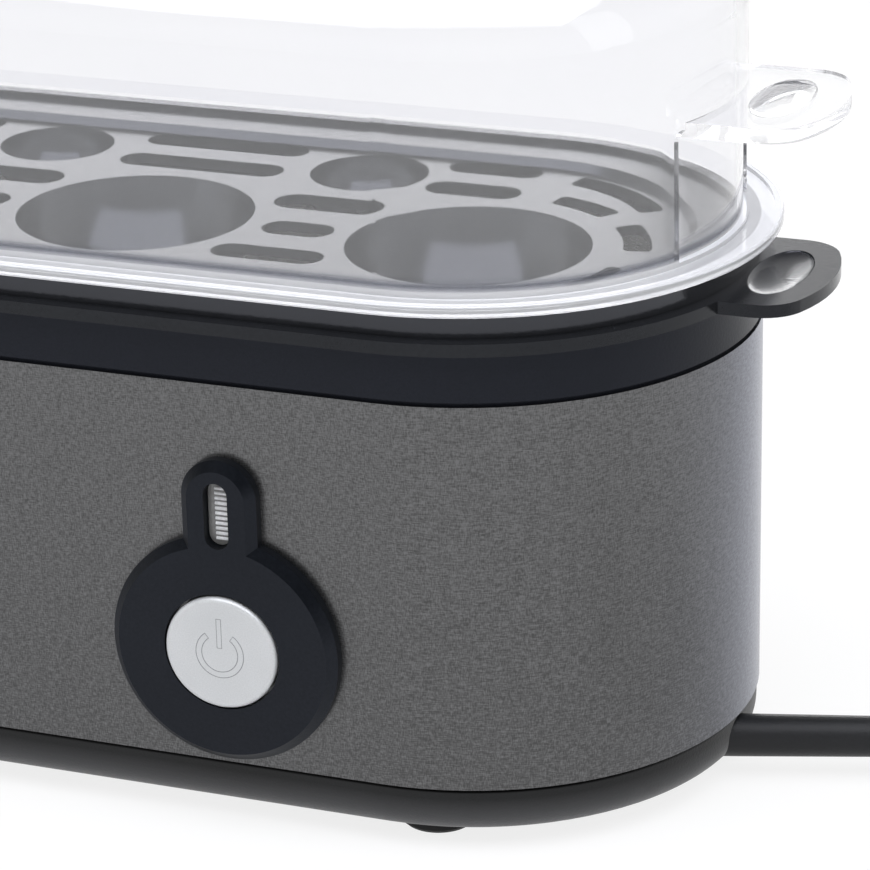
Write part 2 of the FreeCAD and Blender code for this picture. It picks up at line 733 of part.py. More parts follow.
# Egg tray: one black moulding with rim, flange, lifting tabs, seven cups and steam slots
def tray():
    item = body("egg_tray")
    stadium(item, "Pad", "tray_flange_radius", "collar_top", "tray_tab_top")
    stadium(item, "Pad", "tray_skirt_radius", "tray_tab_top", "tray_top")
    stadium(item, "Pad", "collar_inner - fit_gap", "collar_top - tray_skirt_depth", "collar_top")
    stadium(item, "Pocket", "tray_rim_inner", "tray_ledge", "tray_top + cut_over")
    stadium(item, "Pocket", "collar_inner - fit_gap - tray_thickness",
            "collar_top - tray_skirt_depth - cut_over", "plate_bottom")
    stadium(item, "Pocket", "tray_plate_radius", "plate_top", "tray_top + cut_over", "plate_flare")
    tabs(item, "tray_skirt_radius", "tray_tab_half", "tray_tab_reach", "collar_top", "tray_tab_top")
    first = cup(item, "-1.5 * cup_pitch", "-cup_y", "cup_radius", "cup_depth", "cup_hole_radius", "cup_curve")
    for part in first:
        row_of(item, [part], 4, "3 * cup_pitch", (first[0].Profile[0], ["H_Axis"]))
    second = cup(item, "-cup_pitch", "small_cup_y", "small_cup_radius", "small_cup_depth", "small_cup_hole",
                 "small_cup_curve")
    for part in second:
        row_of(item, [part], 3, "2 * cup_pitch", (second[0].Profile[0], ["H_Axis"]))
    deep = "tray_thickness + cut_over"
    made = sketch(item, offset="plate_bottom - cut_over / 2")
    for letter, side in (("a", ""), ("b", "-"), ("c", "-")):
        name = "slot_%s_" % letter
        slot(made, "(%slength - %swidth) / 2" % (name, name), name + "width / 2", "-cup_pitch", side + name + "y")
    row_of(item, [feature(item, "Pocket", made, deep, True)], 3, "2 * cup_pitch")
    made = sketch(item, offset="plate_bottom - cut_over / 2")
    slot(made, "(slot_d_length - slot_d_width) / 2", "slot_d_width / 2", "-cup_pitch / 2", "slot_d_y")
    slot(made, "(slot_d_length - slot_e_width) / 2", "slot_e_width / 2", "-cup_pitch / 2", "slot_e_y")
    row_of(item, [feature(item, "Pocket", made, deep, True)], 2, "cup_pitch")
    made = sketch(item, offset="plate_bottom - cut_over / 2")
    slot(made, "(slot_f_length - slot_d_width) / 2", "slot_d_width / 2", "end_x - slot_f_back", "slot_d_y")
    slot(made, "(slot_f_length - slot_e_width) / 2", "slot_e_width / 2", "end_x - slot_f_back", "slot_e_y")
    ends = [feature(item, "Pocket", made, deep, True)]
    for name, outer in (("ring_slot_a", "ring_slot_out"), ("ring_slot_b", "ring_slot_out"), ("front_slot", "front_slot_out")):
        ends.append(arc_slot(item, "1.5 * cup_pitch", "-cup_y", "ring_slot_in", outer, name))
    ends.append(arc_slot(item, "end_x", "0", "rim_slot_in", "rim_slot_out", "rim_slot"))
    pair = mirrored(item, ends)
    cup_middle = Vector(value("1.5 * cup_pitch"), -value("cup_y"), 0)
    rings = [(cup_middle, size) for size in ("ring_slot_in", "ring_slot_out", "front_slot_out")]
    rings += [(Vector(value("end_x"), 0, 0), size) for size in ("rim_slot_in", "rim_slot_out")]

    def corner(bound):
        if bound.XLength > SMALL or bound.YLength > SMALL or bound.ZLength > value("tray_thickness") + SMALL:
            return False
        spot = Vector(abs(bound.XMin), bound.YMin, 0)
        return any(near((spot - centre).Length, value(radius)) for centre, radius in rings)

    return rounded(item, "Fillet", pair, "slot_corner", corner)


# recess in the end of the lid's wall, back to an arc about the end of the housing
def recess(item, inner, outer, half, low, high):
    made = sketch(item, offset=low)
    end, wide = value("end_x"), value(half)
    r, far = value(inner), value(outer)
    angle = math.asin(wide / r)
    spots = [Vector(end + r * math.cos(angle), wide, 0), Vector(end + far, wide, 0),
             Vector(end + far, -wide, 0), Vector(end + r * math.cos(angle), -wide, 0)]
    made.addGeometry(Part.ArcOfCircle(Part.Circle(Vector(end, 0, 0), UP, r), -angle, angle), False)
    for i in range(3):
        made.addGeometry(Part.LineSegment(spots[i], spots[i + 1]), False)
    for a, pa, b, pb in ((0, 2, 1, 1), (1, 2, 2, 1), (2, 2, 3, 1), (3, 2, 0, 1)):
        made.addConstraint(Sketcher.Constraint("Coincident", a, pa, b, pb))
    for kind_of, index in (("Horizontal", 1), ("Horizontal", 3), ("Vertical", 2)):
        made.addConstraint(Sketcher.Constraint(kind_of, index))
    hold(made, 0, 3, "end_x", "0")
    hold_radius(made, 0, inner)
    hold(made, 1, 2, "end_x + %s" % outer, half)
    number = made.addConstraint(Sketcher.Constraint("DistanceY", 2, 2, -1, 1, wide))
    bind(made, "Constraints[%d]" % number, half)
    pair = mirrored(item, [feature(item, "Pocket", made, "(%s) - (%s)" % (high, low), True)])
    top = value(high)
    corner = lambda bound: bound.YLength < SMALL and near(abs(bound.YMin), wide) and near(bound.ZMin, top)
    return rounded(item, "Fillet", pair, "pocket_round", corner)


# Lid: clear dome with locating foot, flange, upstanding bead, finger recesses and lifting tabs
def lid():
    item = body("lid_outer")
    dome = stadium(item, "Pad", "lid_radius", "tray_top", "lid_top", "-lid_lean")
    rounded(item, "Fillet", dome, "lid_round", level("lid_top"))
    flange = "tray_top + lid_flange"
    recess(item, "lid_radius - pocket_depth", "lid_radius + cut_over", "pocket_half", flange,
           "lid_tab_top - lid_tab_thickness / 2")
    pad = stadium(item, "Pad", "lid_flange_radius", "tray_top", flange + " + lid_bead_height")
    wide = value("lid_radius + lid_edge")
    rounded(item, "Fillet", pad, "lid_edge", lambda b: b.YLength > 2 * wide or abs(b.YMin) > wide)
    made = slot(slot(sketch(item, offset=flange), "end_x", "lid_flange_radius - lid_bead"), "end_x", "lid_radius")
    feature(item, "Pocket", made, "cut_over", True)
    stadium(item, "Pad", "tray_rim_inner - lid_foot_gap", "tray_ledge + lid_foot_gap", "tray_top")
    tabs(item, "lid_radius - pocket_depth", "lid_tab_half", "lid_tab_reach", "lid_tab_top - lid_tab_thickness",
         "lid_tab_top")
    hollow = body("lid_hollow")
    space = stadium(hollow, "Pad", "lid_inner", "tray_ledge - cut_over", "lid_top - lid_wall", "-lid_lean")
    rounded(hollow, "Fillet", space, "lid_round - lid_wall", level("lid_top - lid_wall"))
    made = sketch(hollow, offset="lid_top - lid_round")
    for side in ("", "-"):
        circle(made, side + "vent_hole_x", "0", "vent_hole_radius")
    feature(hollow, "Pad", made, "lid_round + cut_over")
    return cut("lid", item, hollow)


# Control plate: keyhole shaped black moulding on the front of the band
def control_plate():
    item = body("control_plate")
    made = circle(sketch(item, "XZ_Plane", "shell_radius"), "control_x", "plate_z", "plate_radius")
    feature(item, "Pad", made, "plate_thickness")
    made = sketch(item, "XZ_Plane", "shell_radius")
    slot(made, "(plate_neck_z - plate_z) / 2", "plate_neck_half", "control_x", "(plate_neck_z + plate_z) / 2", True)
    pad = feature(item, "Pad", made, "plate_thickness")
    face = -value("front_face")
    rounded(item, "Chamfer", pad, "plate_bevel", lambda b: near(b.YMin, face) and near(b.YMax, face))
    made = circle(sketch(item, "XZ_Plane", "shell_radius"), "control_x", "plate_z", "button_radius + button_gap")
    slot(made, "window_half", "window_radius", "control_x", "window_z", True)
    feature(item, "Pocket", made, "plate_thickness", True)
    made = sketch(item, "XZ_Plane", "shell_inner - bracket_thickness")
    for x in ("control_x - stud_x", "control_x + stud_x"):
        circle(made, x, "plate_z - stud_drop", "stud_radius")
    feature(item, "Pad", made, "shell_thickness + bracket_thickness + plate_thickness / 2")
    return item


# Button cap: silvery disc with a retaining flange and the stem that works the switch
def button():
    item = body("button_cap")
    made = circle(sketch(item, "XZ_Plane", "shell_radius"), "control_x", "plate_z", "button_radius")
    cap = feature(item, "Pad", made, "plate_thickness + button_proud")
    face = -value("front_face + button_proud")
    rounded(item, "Fillet", cap, "button_edge", lambda b: near(b.YMin, face) and near(b.YMax, face))
    made = circle(sketch(item, "XZ_Plane", "shell_radius - button_flange"), "control_x", "plate_z",
                  "button_flange_radius")
    feature(item, "Pad", made, "button_flange")
    made = circle(sketch(item, "XZ_Plane", "shell_radius - button_flange - button_stem"), "control_x", "plate_z",
                  "button_stem_radius")
    feature(item, "Pad", made, "button_stem")
    return item


# Lamp lens: clear insert in the neck's window, ribbed across
def lens():
    item = body("lamp_lens")
    made = slot(sketch(item, "XZ_Plane", "shell_inner"), "window_half", "window_radius + lens_margin",
                "control_x", "window_z", True)
    feature(item, "Pad", made, "shell_thickness")
    made = slot(sketch(item, "XZ_Plane", "shell_radius"), "window_half", "window_radius - lens_gap",
                "control_x", "window_z", True)
    feature(item, "Pad", made, "plate_thickness - lens_recess")
    made = circle(sketch(item, "YZ_Plane", "control_x - 2 * window_radius"), "-(front_face - lens_recess)",
                  "window_z - 3 * lens_rib_pitch", "lens_rib_radius")
    rib = feature(item, "Pocket", made, "4 * window_radius", True)
    row_of(item, [rib], 7, "6 * lens_rib_pitch", (made, ["V_Axis"]))
    return item


# Switch bracket: carrier behind the band with a cradle for the switch and a seat for the lamp
def bracket():
    item = body("switch_bracket")
    made = box(sketch(item, "XZ_Plane", "shell_inner - bracket_thickness"), "control_x - bracket_half",
               "bracket_bottom", "control_x + bracket_half", "bracket_top")
    circle(made, "control_x", "plate_z", "button_flange_radius + 2 * fit_gap")
    circle(made, "control_x", "window_z", "lamp_radius + fit_gap")
    for x in ("control_x - stud_x", "control_x + stud_x"):
        circle(made, x, "plate_z - stud_drop", "stud_radius")
    feature(item, "Pad", made, "bracket_thickness")
    wide = "(switch_half + 0.5 * fit_gap)"
    low = "plate_z - switch_half"
    made = polygon(sketch(item, "XZ_Plane", "switch_front - switch_length"), [
        ("control_x - %s - bracket_thickness" % wide, low + " - bracket_thickness"),
        ("control_x + %s + bracket_thickness" % wide, low + " - bracket_thickness"),
        ("control_x + %s + bracket_thickness" % wide, "plate_z"),
        ("control_x + " + wide, "plate_z"),
        ("control_x + " + wide, low),
        ("control_x - " + wide, low),
        ("control_x - " + wide, "plate_z"),
        ("control_x - %s - bracket_thickness" % wide, "plate_z")])
    feature(item, "Pad", made, "shell_inner - bracket_thickness - switch_front + switch_length")
    made = circle(sketch(item, "XZ_Plane", "shell_radius - button_flange - button_travel - 2 * fit_gap"), "control_x",
                  "plate_z", "button_flange_radius + 2 * fit_gap")
    feature(item, "Pocket", made, "cut_over", True)
    made = circle(sketch(item, "XZ_Plane", "shell_inner - bracket_thickness - lamp_seat"), "control_x", "window_z",
                  "lamp_radius + bracket_thickness")
    circle(made, "control_x", "window_z", "lamp_radius + fit_gap")
    feature(item, "Pad", made, "lamp_seat")
    return item


# Push switch: block with a bore for the stem and two tail tags
def switch():
    item = body("switch_body")
    made = box(sketch(item, "XZ_Plane", "switch_front - switch_length"), "control_x - switch_half",
               "plate_z - switch_half", "control_x + switch_half", "plate_z + switch_half")
    feature(item, "Pad", made, "switch_length")
    made = circle(sketch(item, "XZ_Plane", "switch_front"), "control_x", "plate_z", "button_stem_radius + fit_gap")
    feature(item, "Pocket", made, "button_stem + button_travel")
    made = sketch(item, "XZ_Plane", "switch_front - switch_length - switch_pin")
    for side in ("-", "+"):
        box(made, "control_x %s switch_half / 2 - sheet_thickness / 2" % side, "plate_z - switch_pin / 2",
            "control_x %s switch_half / 2 + sheet_thickness / 2" % side, "plate_z + switch_pin / 2")
    feature(item, "Pad", made, "switch_pin")
    return item


# Indicator lamp: small glass bulb in the bracket's seat
def lamp():
    item = body("indicator_lamp")
    made = circle(sketch(item, "XZ_Plane", "shell_inner - lamp_length"), "control_x", "window_z", "lamp_radius")
    pad = feature(item, "Pad", made, "lamp_length - fit_gap")
    face = -value("shell_inner - fit_gap")
    rounded(item, "Fillet", pad, "lamp_dome", lambda b: near(b.YMin, face) and near(b.YMax, face))
    return item


# Heating element: sheathed rod bent to a long U against the bowl's floor, with two cold pins
def heater():
    item = body("heating_element")
    made = sketch(item, offset="bowl_floor - heater_radius")
    reach, bend = value("heater_half"), value("heater_bend")
    made.addGeometry(Part.LineSegment(Vector(reach, bend, 0), Vector(-reach, bend, 0)), False)
    circle_left = Part.Circle(Vector(-reach, 0, 0), UP, bend)
    made.addGeometry(Part.ArcOfCircle(circle_left, math.pi / 2, 3 * math.pi / 2), False)
    made.addGeometry(Part.LineSegment(Vector(-reach, -bend, 0), Vector(reach, -bend, 0)), False)
    made.addConstraint(Sketcher.Constraint("Tangent", 0, 2, 1, 1))
    made.addConstraint(Sketcher.Constraint("Tangent", 1, 2, 2, 1))
    hold(made, 1, 3, "-heater_half", "0")
    hold(made, 0, 1, "heater_half", "heater_bend")
    hold(made, 2, 2, "heater_half", "-heater_bend")
    ring = circle(sketch(item, "YZ_Plane", "heater_half"), "heater_bend", "bowl_floor - heater_radius", "heater_radius")
    rod = item.newObject("PartDesign::AdditivePipe", "heater_rod")
    rod.Profile = ring
    rod.Spine = (made, [])
    pins = sketch(item, "YZ_Plane", "heater_half")
    for side in ("", "-"):
        circle(pins, side + "heater_bend", "bowl_floor - heater_radius", "heater_pin_radius")
    feature(item, "Pad", pins, "heater_pin")
    return item


def prism(name, role, offset, corners, length):
    item = body(name)
    feature(item, "Pad", polygon(sketch(item, role, offset), corners), length)
    return item


# Thermostat disc on the bowl's floor between the heater's legs, and the fuse beside it
def thermostat():
    item = body("thermostat")
    made = circle(sketch(item, offset="bowl_floor - thermostat_height"), "0", "0", "thermostat_radius")
    feature(item, "Pad", made, "thermostat_height")
    made = circle(sketch(item, offset="bowl_floor - thermostat_height / 2"), "0", "0", "thermostat_radius + foot_seat")
    feature(item, "Pad", made, "sheet_thickness")
    made = sketch(item, offset="bowl_floor - thermostat_height - switch_pin")
    for side in ("-", "+"):
        box(made, "0 %s thermostat_radius / 2 - sheet_thickness / 2" % side, "-switch_pin / 2",
            "0 %s thermostat_radius / 2 + sheet_thickness / 2" % side, "switch_pin / 2")
    feature(item, "Pad", made, "switch_pin")
    item = body("thermal_fuse")
    made = circle(sketch(item, "YZ_Plane", "fuse_x - fuse_length / 2"), "0", "bowl_floor - fuse_radius", "fuse_radius")
    feature(item, "Pad", made, "fuse_length")


# Heat shield: folded sheet below the element
def shield():
    t = "sheet_thickness"
    half = "shield_half"
    return prism("heat_shield", "YZ_Plane", "-shield_length / 2", [
        ("-" + half, "shield_z"), (half, "shield_z"), (half, "shield_z + shield_edge"),
        (half + " - " + t, "shield_z + shield_edge"), (half + " - " + t, "shield_z + " + t),
        ("-(%s - %s)" % (half, t), "shield_z + " + t), ("-(%s - %s)" % (half, t), "shield_z + shield_edge"),
        ("-" + half, "shield_z + shield_edge")], "shield_length")


# Tie straps: bent steel hangers from the bowl's floor to the screw columns of the pan
def strap(name, side):
    t = "sheet_thickness"
    half = "strap_half"
    top = "bowl_floor"
    low = "column_top"
    item = prism(name, "YZ_Plane", "%s column_x - strap_width / 2" % side, [
        ("-" + half, low), (half, low), (half, top + " - " + t), (half + " + foot_radius", top + " - " + t),
        (half + " + foot_radius", top), (half + " - " + t, top), (half + " - " + t, low + " + " + t),
        ("-(%s - %s)" % (half, t), low + " + " + t), ("-(%s - %s)" % (half, t), top),
        ("-(%s + foot_radius)" % half, top), ("-(%s + foot_radius)" % half, top + " - " + t),
        ("-" + half, top + " - " + t)], "strap_width")
    made = circle(sketch(item, offset=low), side + " column_x", "0", "screw_radius")
    feature(item, "Pocket", made, "cut_over", True)
    return item


# Terminal block and cord clamp on the pan's floor, and the lead between them and the wall
def mains_parts():
    item = body("terminal_block")
    made = box(sketch(item, offset="pan_floor"), "terminal_left", "-terminal_y - terminal_width / 2",
               "terminal_left + terminal_length", "-terminal_y + terminal_width / 2")
    feature(item, "Pad", made, "terminal_height")
    made = sketch(item, "YZ_Plane", "terminal_left")
    for step in ("-", "0 *", ""):
        circle(made, "-terminal_y + (%s terminal_step)" % step, "terminal_z", "screw_radius")
    feature(item, "Pocket", made, "terminal_length", True)
    made = circle(across_lead(item, "cord_back"), "0", "cord_z", "cord_radius + fit_gap / 2")
    feature(item, "Pocket", made, "cord_back", True)
    item = body("cord_clamp")
    made = box(across_lead(item, "clamp_back"), "-clamp_width / 2", "pan_floor", "clamp_width / 2",
               "pan_floor + clamp_height")
    feature(item, "Pad", made, "clamp_length")
    made = slot(across_lead(item, "clamp_back"), "cord_radius", "cord_radius + fit_gap / 2", "0",
                "cord_z - cord_radius", True)
    feature(item, "Pocket", made, "clamp_length", True)
    item = body("cord_inner")
    made = circle(across_lead(item, "cord_back"), "0", "cord_z", "cord_radius")
    feature(item, "Pad", made, "cord_back - gland_back")


# Strain relief: tapered rubber sleeve through the end wall of the pan
def gland():
    item = body("cord_gland")
    made = sketch(item, "XZ_Plane", "cord_y", ("exit_x", "cord_z"), "cord_turn")
    polygon(made, [("-gland_back", "0"), ("gland_reach", "0"), ("gland_reach", "gland_end_radius"),
                   ("0", "gland_radius"), ("-gland_back", "gland_radius")])
    turn = item.newObject("PartDesign::Revolution", "gland_turn")
    turn.Profile = made
    turn.ReferenceAxis = (made, ["H_Axis"])
    turn.Angle = 360
    return item


# points of the cord's route from the strain relief to the coil
def cord_points():
    low = value("cord_radius")
    turn = math.radians(value("cord_turn"))
    axis = Vector(math.cos(turn), math.sin(turn), 0)
    start = Vector(value("exit_x"), -value("cord_y"), value("cord_z")) + axis * value("gland_reach")
    stop = Vector(value("coil_x") - 2 * low, value("coil_y + coil_outer"), low)
    far = stop.x - start.x
    rise = stop.y - start.y
    level_share = 0.22
    touch_share, touch_side_share = 0.5, 0.68
    turn_share = 0.77
    return [start, start + axis * far * level_share,
            Vector(start.x + far * touch_share, start.y + rise * touch_side_share, low),
            Vector(start.x + far * turn_share, stop.y, low), stop]


# loop centre line: spirals in on the surface, climbs, spirals out on top
def coil_edges():
    low = value("cord_radius")
    pitch = 2 * low + value("coil_gap")
    centre = Vector(value("coil_x"), value("coil_y"), 0)
    # share of a turn, steps inwards or outwards and steps up
    shares = ((0, 0, 0), (1.5, -1.5, 0), (2, -2.25, 1), (2.75, -0.75, 1), (3.25, -0.75, 1))
    turns = shares[-1][0]
    steps = 26

    def place(turn):
        for (t0, r0, z0), (t1, r1, z1) in zip(shares, shares[1:]):
            if turn <= t1 + SMALL / steps:
                break
        share = (turn - t0) / (t1 - t0)
        rise = z0 + (z1 - z0) * share * share * (3 - 2 * share)
        radius = value("coil_outer") + pitch * (r0 + (r1 - r0) * share)
        angle = math.pi * (0.5 - 2 * turn)
        return centre + Vector(radius * math.cos(angle), radius * math.sin(angle), low + rise * pitch)

    def heading(turn):
        step = SMALL / 10
        if turn < step:
            return Vector(1, 0, 0)
        if turn > turns - step:
            return Vector(0, -1, 0)
        return (place(turn + step) - place(turn - step)).normalize()

    spots = [place(turns * i / steps) for i in range(steps + 1)]
    ways = [heading(turns * i / steps) for i in range(steps + 1)]
    lines = [Part.LineSegment(spots[0] - ways[0] * 2 * low, spots[0]).toShape()]
    for a, b, into, out in zip(spots, spots[1:], ways, ways[1:]):
        lines += biarc(a, b, into, out)
    lines.append(Part.LineSegment(spots[-1], spots[-1] + ways[-1] * 2 * low).toShape())
    return lines


# two tangent arcs from point a heading into to point b heading out
def biarc(a, b, into, out):
    gap = b - a
    total = into + out
    share = 2 * (1 - into.dot(out))
    along = gap.dot(total)
    reach = (-along + math.sqrt(along ** 2 + share * gap.dot(gap))) / share
    first = a + into * reach
    last = b - out * reach
    join = (first + last) / 2
    made = []
    for start, corner, stop in ((a, first, join), (join, last, b)):
        before = (corner - start).normalize()
        after = (stop - corner).normalize()
        half = before.getAngle(after) / 2
        span = (corner - start).Length
        bend = span / math.tan(half)
        middle = corner + (after - before).normalize() * (bend / math.cos(half) - bend)
        made.append(Part.Arc(start, middle, stop).toShape())
    return made


# Mains cord: free stretch, coil put away beside the housing, tail and moulded plug
def mains_cord():
    radius = value("cord_radius")
    path, radii = route(cord_points())
    stretch = tube(path, radius)
    solid("power_cord", stretch)
    lines = coil_edges()
    wound = Part.Wire(lines)
    coil = tube(wound, radius)
    solid("cord_coil", coil)
    end = lines[-1].valueAt(lines[-1].LastParameter)
    lift = math.radians(value("plug_pitch"))
    turn = math.radians(value("plug_turn"))
    run = value("tail_run")
    axis = Vector(-math.sin(turn) * math.cos(lift), -math.cos(turn) * math.cos(lift), math.sin(lift))
    rest = value("plug_radius") * math.cos(lift) - PLUG_SHOULDER_SHARE * value("plug_length") * math.sin(lift)
    boot = Vector(end.x - run / 4, end.y - 3 * run, rest)
    path_tail, radii_tail = route([end, end - Vector(0, run, 0), boot - axis * run, boot])
    solid("cord_tail", tube(path_tail, radius))
    print("cord radii", [round(r, 1) for r in radii], "tail", [round(r, 1) for r in radii_tail])
    print("coil self gap", round(self_gap(lines, radius), 2))
    total = path.Length + wound.Length + path_tail.Length + value("gland_reach")
    print("cord length", round(total, 1))
    for name, shape, line in (("stretch", stretch, path), ("coil", coil, wound)):
        print(name, "volume over section times length", round(shape.Volume / (math.pi * radius ** 2 * line.Length), 4))
    plug(boot, axis)


def self_gap(lines, radius):
    least = lines[0].distToShape(lines[-1])[0]
    for i, one in enumerate(lines):
        for other in lines[i + 6:]:
            least = min(least, one.distToShape(other)[0])
    return least - 2 * radius


# Plug: round moulded body with a boot and two round pins
PLUG_SHOULDER_SHARE = 0.8


def plug(spot, axis):
    r = value("plug_radius")
    boot = value("plug_boot")
    full = value("plug_length")
    neck_radius_share, neck_share = 0.55, 0.1
    belly_radius_share, belly_share = 0.86, 0.72
    outline = [(0, 0), (value("plug_tip_radius"), 0), (value("plug_boot_radius"), boot),
               (neck_radius_share * r, boot + neck_share * full), (belly_radius_share * r, belly_share * full),
               (r, PLUG_SHOULDER_SHARE * full), (r, full), (0, full)]
    wire = Part.makePolygon([Vector(x, 0, z) for x, z in outline] + [Vector()])
    shape = Part.Face(wire).revolve(Vector(), UP, 360)
    pins = [Part.makeCylinder(value("pin_radius"), value("pin_length"), Vector(sign * value("pin_step"), 0, full))
            for sign in (1, -1)]
    place = FreeCAD.Placement(spot, FreeCAD.Rotation(UP, axis))
    solid("plug", shape).Placement = place
    solid("plug_pins", Part.makeCompound(pins)).Placement = place


# Inner leads: insulated wires between terminal block, switch, lamp, element, fuse and thermostat
LEADS = {
    "lead_live": [
        ("terminal_left", "-terminal_y - terminal_step", "terminal_z"),
        ("terminal_left - lead_loop", "-terminal_y - terminal_step", "terminal_z"),
        ("control_x + pole", "lead_loop - switch_back", "plate_z - lead_loop"),
        ("control_x + pole", "lead_loop - switch_back", "plate_z"),
        ("control_x + pole", "-switch_back", "plate_z")],
    "lead_load": [
        ("control_x - pole", "-switch_back", "plate_z"),
        ("control_x - pole", "lead_loop - switch_back", "plate_z"),
        ("element_x + lead_loop", "-heater_bend", "element_z - 1.5 * lead_loop"),
        ("element_x + lead_loop", "-heater_bend", "element_z"),
        ("element_x", "-heater_bend", "element_z")],
    "lead_element": [
        ("fuse_x + fuse_length / 2", "0", "bowl_floor - fuse_radius"),
        ("fuse_x + fuse_length / 2 + lead_loop", "0", "bowl_floor - fuse_radius"),
        ("element_x + lead_loop / 2", "lead_loop / 2", "element_z - lead_loop / 2"),
        ("element_x + lead_loop", "heater_bend", "element_z"),
        ("element_x", "heater_bend", "element_z")],
    "lead_fuse": [
        ("fuse_x - fuse_length / 2", "0", "bowl_floor - fuse_radius"),
        ("fuse_x - fuse_length / 2 - lead_loop / 2", "0", "bowl_floor - fuse_radius"),
        ("fuse_x - fuse_length / 2 - lead_loop / 2", "0", "tag_z - lead_loop / 2"),
        ("thermostat_radius / 2", "0", "tag_z - lead_loop / 2"),
        ("thermostat_radius / 2", "0", "tag_z")],
    "lead_neutral": [
        ("-thermostat_radius / 2", "0", "tag_z"),
        ("-thermostat_radius / 2", "0", "tag_z - lead_loop / 2"),
        ("-thermostat_radius / 2", "heater_bend", "tag_z - lead_loop / 2"),
        ("column_x + 1.5 * lead_loop", "heater_bend", "tag_z - lead_loop / 2"),
        ("terminal_left - 2 * lead_loop", "terminal_step - terminal_y", "terminal_z"),
        ("terminal_left", "terminal_step - terminal_y", "terminal_z")],
    "lead_lamp_one": [
        ("control_x - lamp_radius / 2", "-lamp_back", "window_z"),
        ("control_x - lamp_radius / 2", "lead_loop - lamp_back", "window_z"),
        ("control_x - pole", "-switch_back - switch_pin / 2", "plate_z + 1.7 * lead_loop"),
        ("control_x - pole", "-switch_back - switch_pin / 2", "plate_z + switch_pin / 2")],
    "lead_lamp_two": [
        ("control_x + lamp_radius / 2", "-lamp_back", "window_z"),
        ("control_x + lamp_radius / 2", "lead_loop - lamp_back", "window_z"),
        ("control_x + pole", "-switch_back - switch_pin / 2", "plate_z + 1.7 * lead_loop"),
        ("control_x + pole", "-switch_back - switch_pin / 2", "plate_z + switch_pin / 2")],
}


def leads():
    for name, spots in LEADS.items():
        points = [Vector(*[value(size) for size in spot]) for spot in spots]
        path, radii = route(points, radius=value("lead_bend"))
        solid(name, tube(path, value("lead_radius")))


base_pan()
for name, y in (("foot_front", "-foot_y"), ("foot_back", "foot_y")):
    foot(name + "_right", "end_x + foot_step", y)
    foot(name + "_left", "-(end_x + foot_step)", y)
shell()
collar()
bowl()
ring_of("bowl_seal", "collar_inner - seal_margin", "ledge_radius + seal_margin", "ledge_top", "bowl_rim")
tray()
lid()
control_plate()
button()
lens()
bracket()
switch()
lamp()
heater()
thermostat()
shield()
strap("tie_strap_left", "-")
strap("tie_strap_right", "")
mains_parts()
gland()
leads()
mains_cord()
settle()

HELPERS = ("bowl_outer", "bowl_hollow", "lid_outer", "lid_hollow")
KINDS = ("PartDesign::Body", "Part::Cut", "Part::Feature")
nodes = [item for item in doc.Objects if item.TypeId in KINDS and item.Name not in HELPERS]
for item in doc.Objects:
    if {"Invalid", "Error"} & set(item.State):
        raise RuntimeError("%s: %s" % (item.Label, item.State))
os.makedirs("parts", exist_ok=True)
for item in nodes:
    if item.Shape.isNull() or not item.Shape.isValid():
        raise RuntimeError("bad shape in " + item.Label)
    item.Shape.exportStep("parts/%s.step" % item.Label)
    bound = item.Shape.BoundBox
    print("%-18s %9.1f  x %.1f %.1f  y %.1f %.1f  z %.1f %.1f" % (
        item.Label, item.Shape.Volume, bound.XMin, bound.XMax, bound.YMin, bound.YMax, bound.ZMin, bound.ZMax))
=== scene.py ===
import math

import bmesh
import bpy
from mathutils import Matrix, Vector


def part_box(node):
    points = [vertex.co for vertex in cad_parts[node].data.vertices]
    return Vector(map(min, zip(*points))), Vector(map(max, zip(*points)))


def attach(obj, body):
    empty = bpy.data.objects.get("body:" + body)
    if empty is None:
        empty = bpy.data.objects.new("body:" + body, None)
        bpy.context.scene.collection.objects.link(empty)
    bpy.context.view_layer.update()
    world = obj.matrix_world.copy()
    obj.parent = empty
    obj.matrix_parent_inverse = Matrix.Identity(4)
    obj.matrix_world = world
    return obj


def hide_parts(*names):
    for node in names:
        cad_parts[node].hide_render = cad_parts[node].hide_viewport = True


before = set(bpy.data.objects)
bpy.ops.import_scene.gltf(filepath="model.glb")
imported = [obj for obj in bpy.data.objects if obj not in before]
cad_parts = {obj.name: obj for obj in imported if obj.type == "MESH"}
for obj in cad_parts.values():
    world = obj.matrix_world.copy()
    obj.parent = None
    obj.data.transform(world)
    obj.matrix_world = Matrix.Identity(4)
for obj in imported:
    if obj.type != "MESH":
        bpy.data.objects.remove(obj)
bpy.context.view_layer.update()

# Camera
# The photograph looks down on the right half of the front from the right, through a long lens.
# Place, direction and focal length were fitted to the outlines of the band, the flange and the pan.
lens = bpy.data.cameras.new("camera")
lens.sensor_width = 36
lens.lens = 158.1
lens.clip_start = 0.05
lens.clip_end = 20
camera = bpy.data.objects.new("camera", lens)
bpy.context.scene.collection.objects.link(camera)
bpy.context.scene.camera = camera
turn = Matrix.Rotation(math.radians(21.04), 4, "Z")
tilt = Matrix.Rotation(math.radians(90 - 21.53), 4, "X")
roll = Matrix.Rotation(math.radians(-1.31), 4, "Z")
camera.matrix_world = Matrix.Translation((0.3183, -0.6051, 0.3134)) @ turn @ tilt @ roll
bpy.context.scene.view_settings.view_transform = "Standard"


# Mains lead
# A round 7 mm flexible lead sheathed in black PVC, smooth and fairly glossy. It leaves the right end
# of the pan through a tapered sleeve; the length out of view lies in a coil with a moulded plug.

# an sRGB hex colour in linear light
def linear(colour):
    parts = [int(colour[i:i + 2], 16) / 255 for i in (1, 3, 5)]
    return tuple(c / 12.92 if c <= 0.04045 else ((c + 0.055) / 1.055) ** 2.4 for c in parts) + (1,)


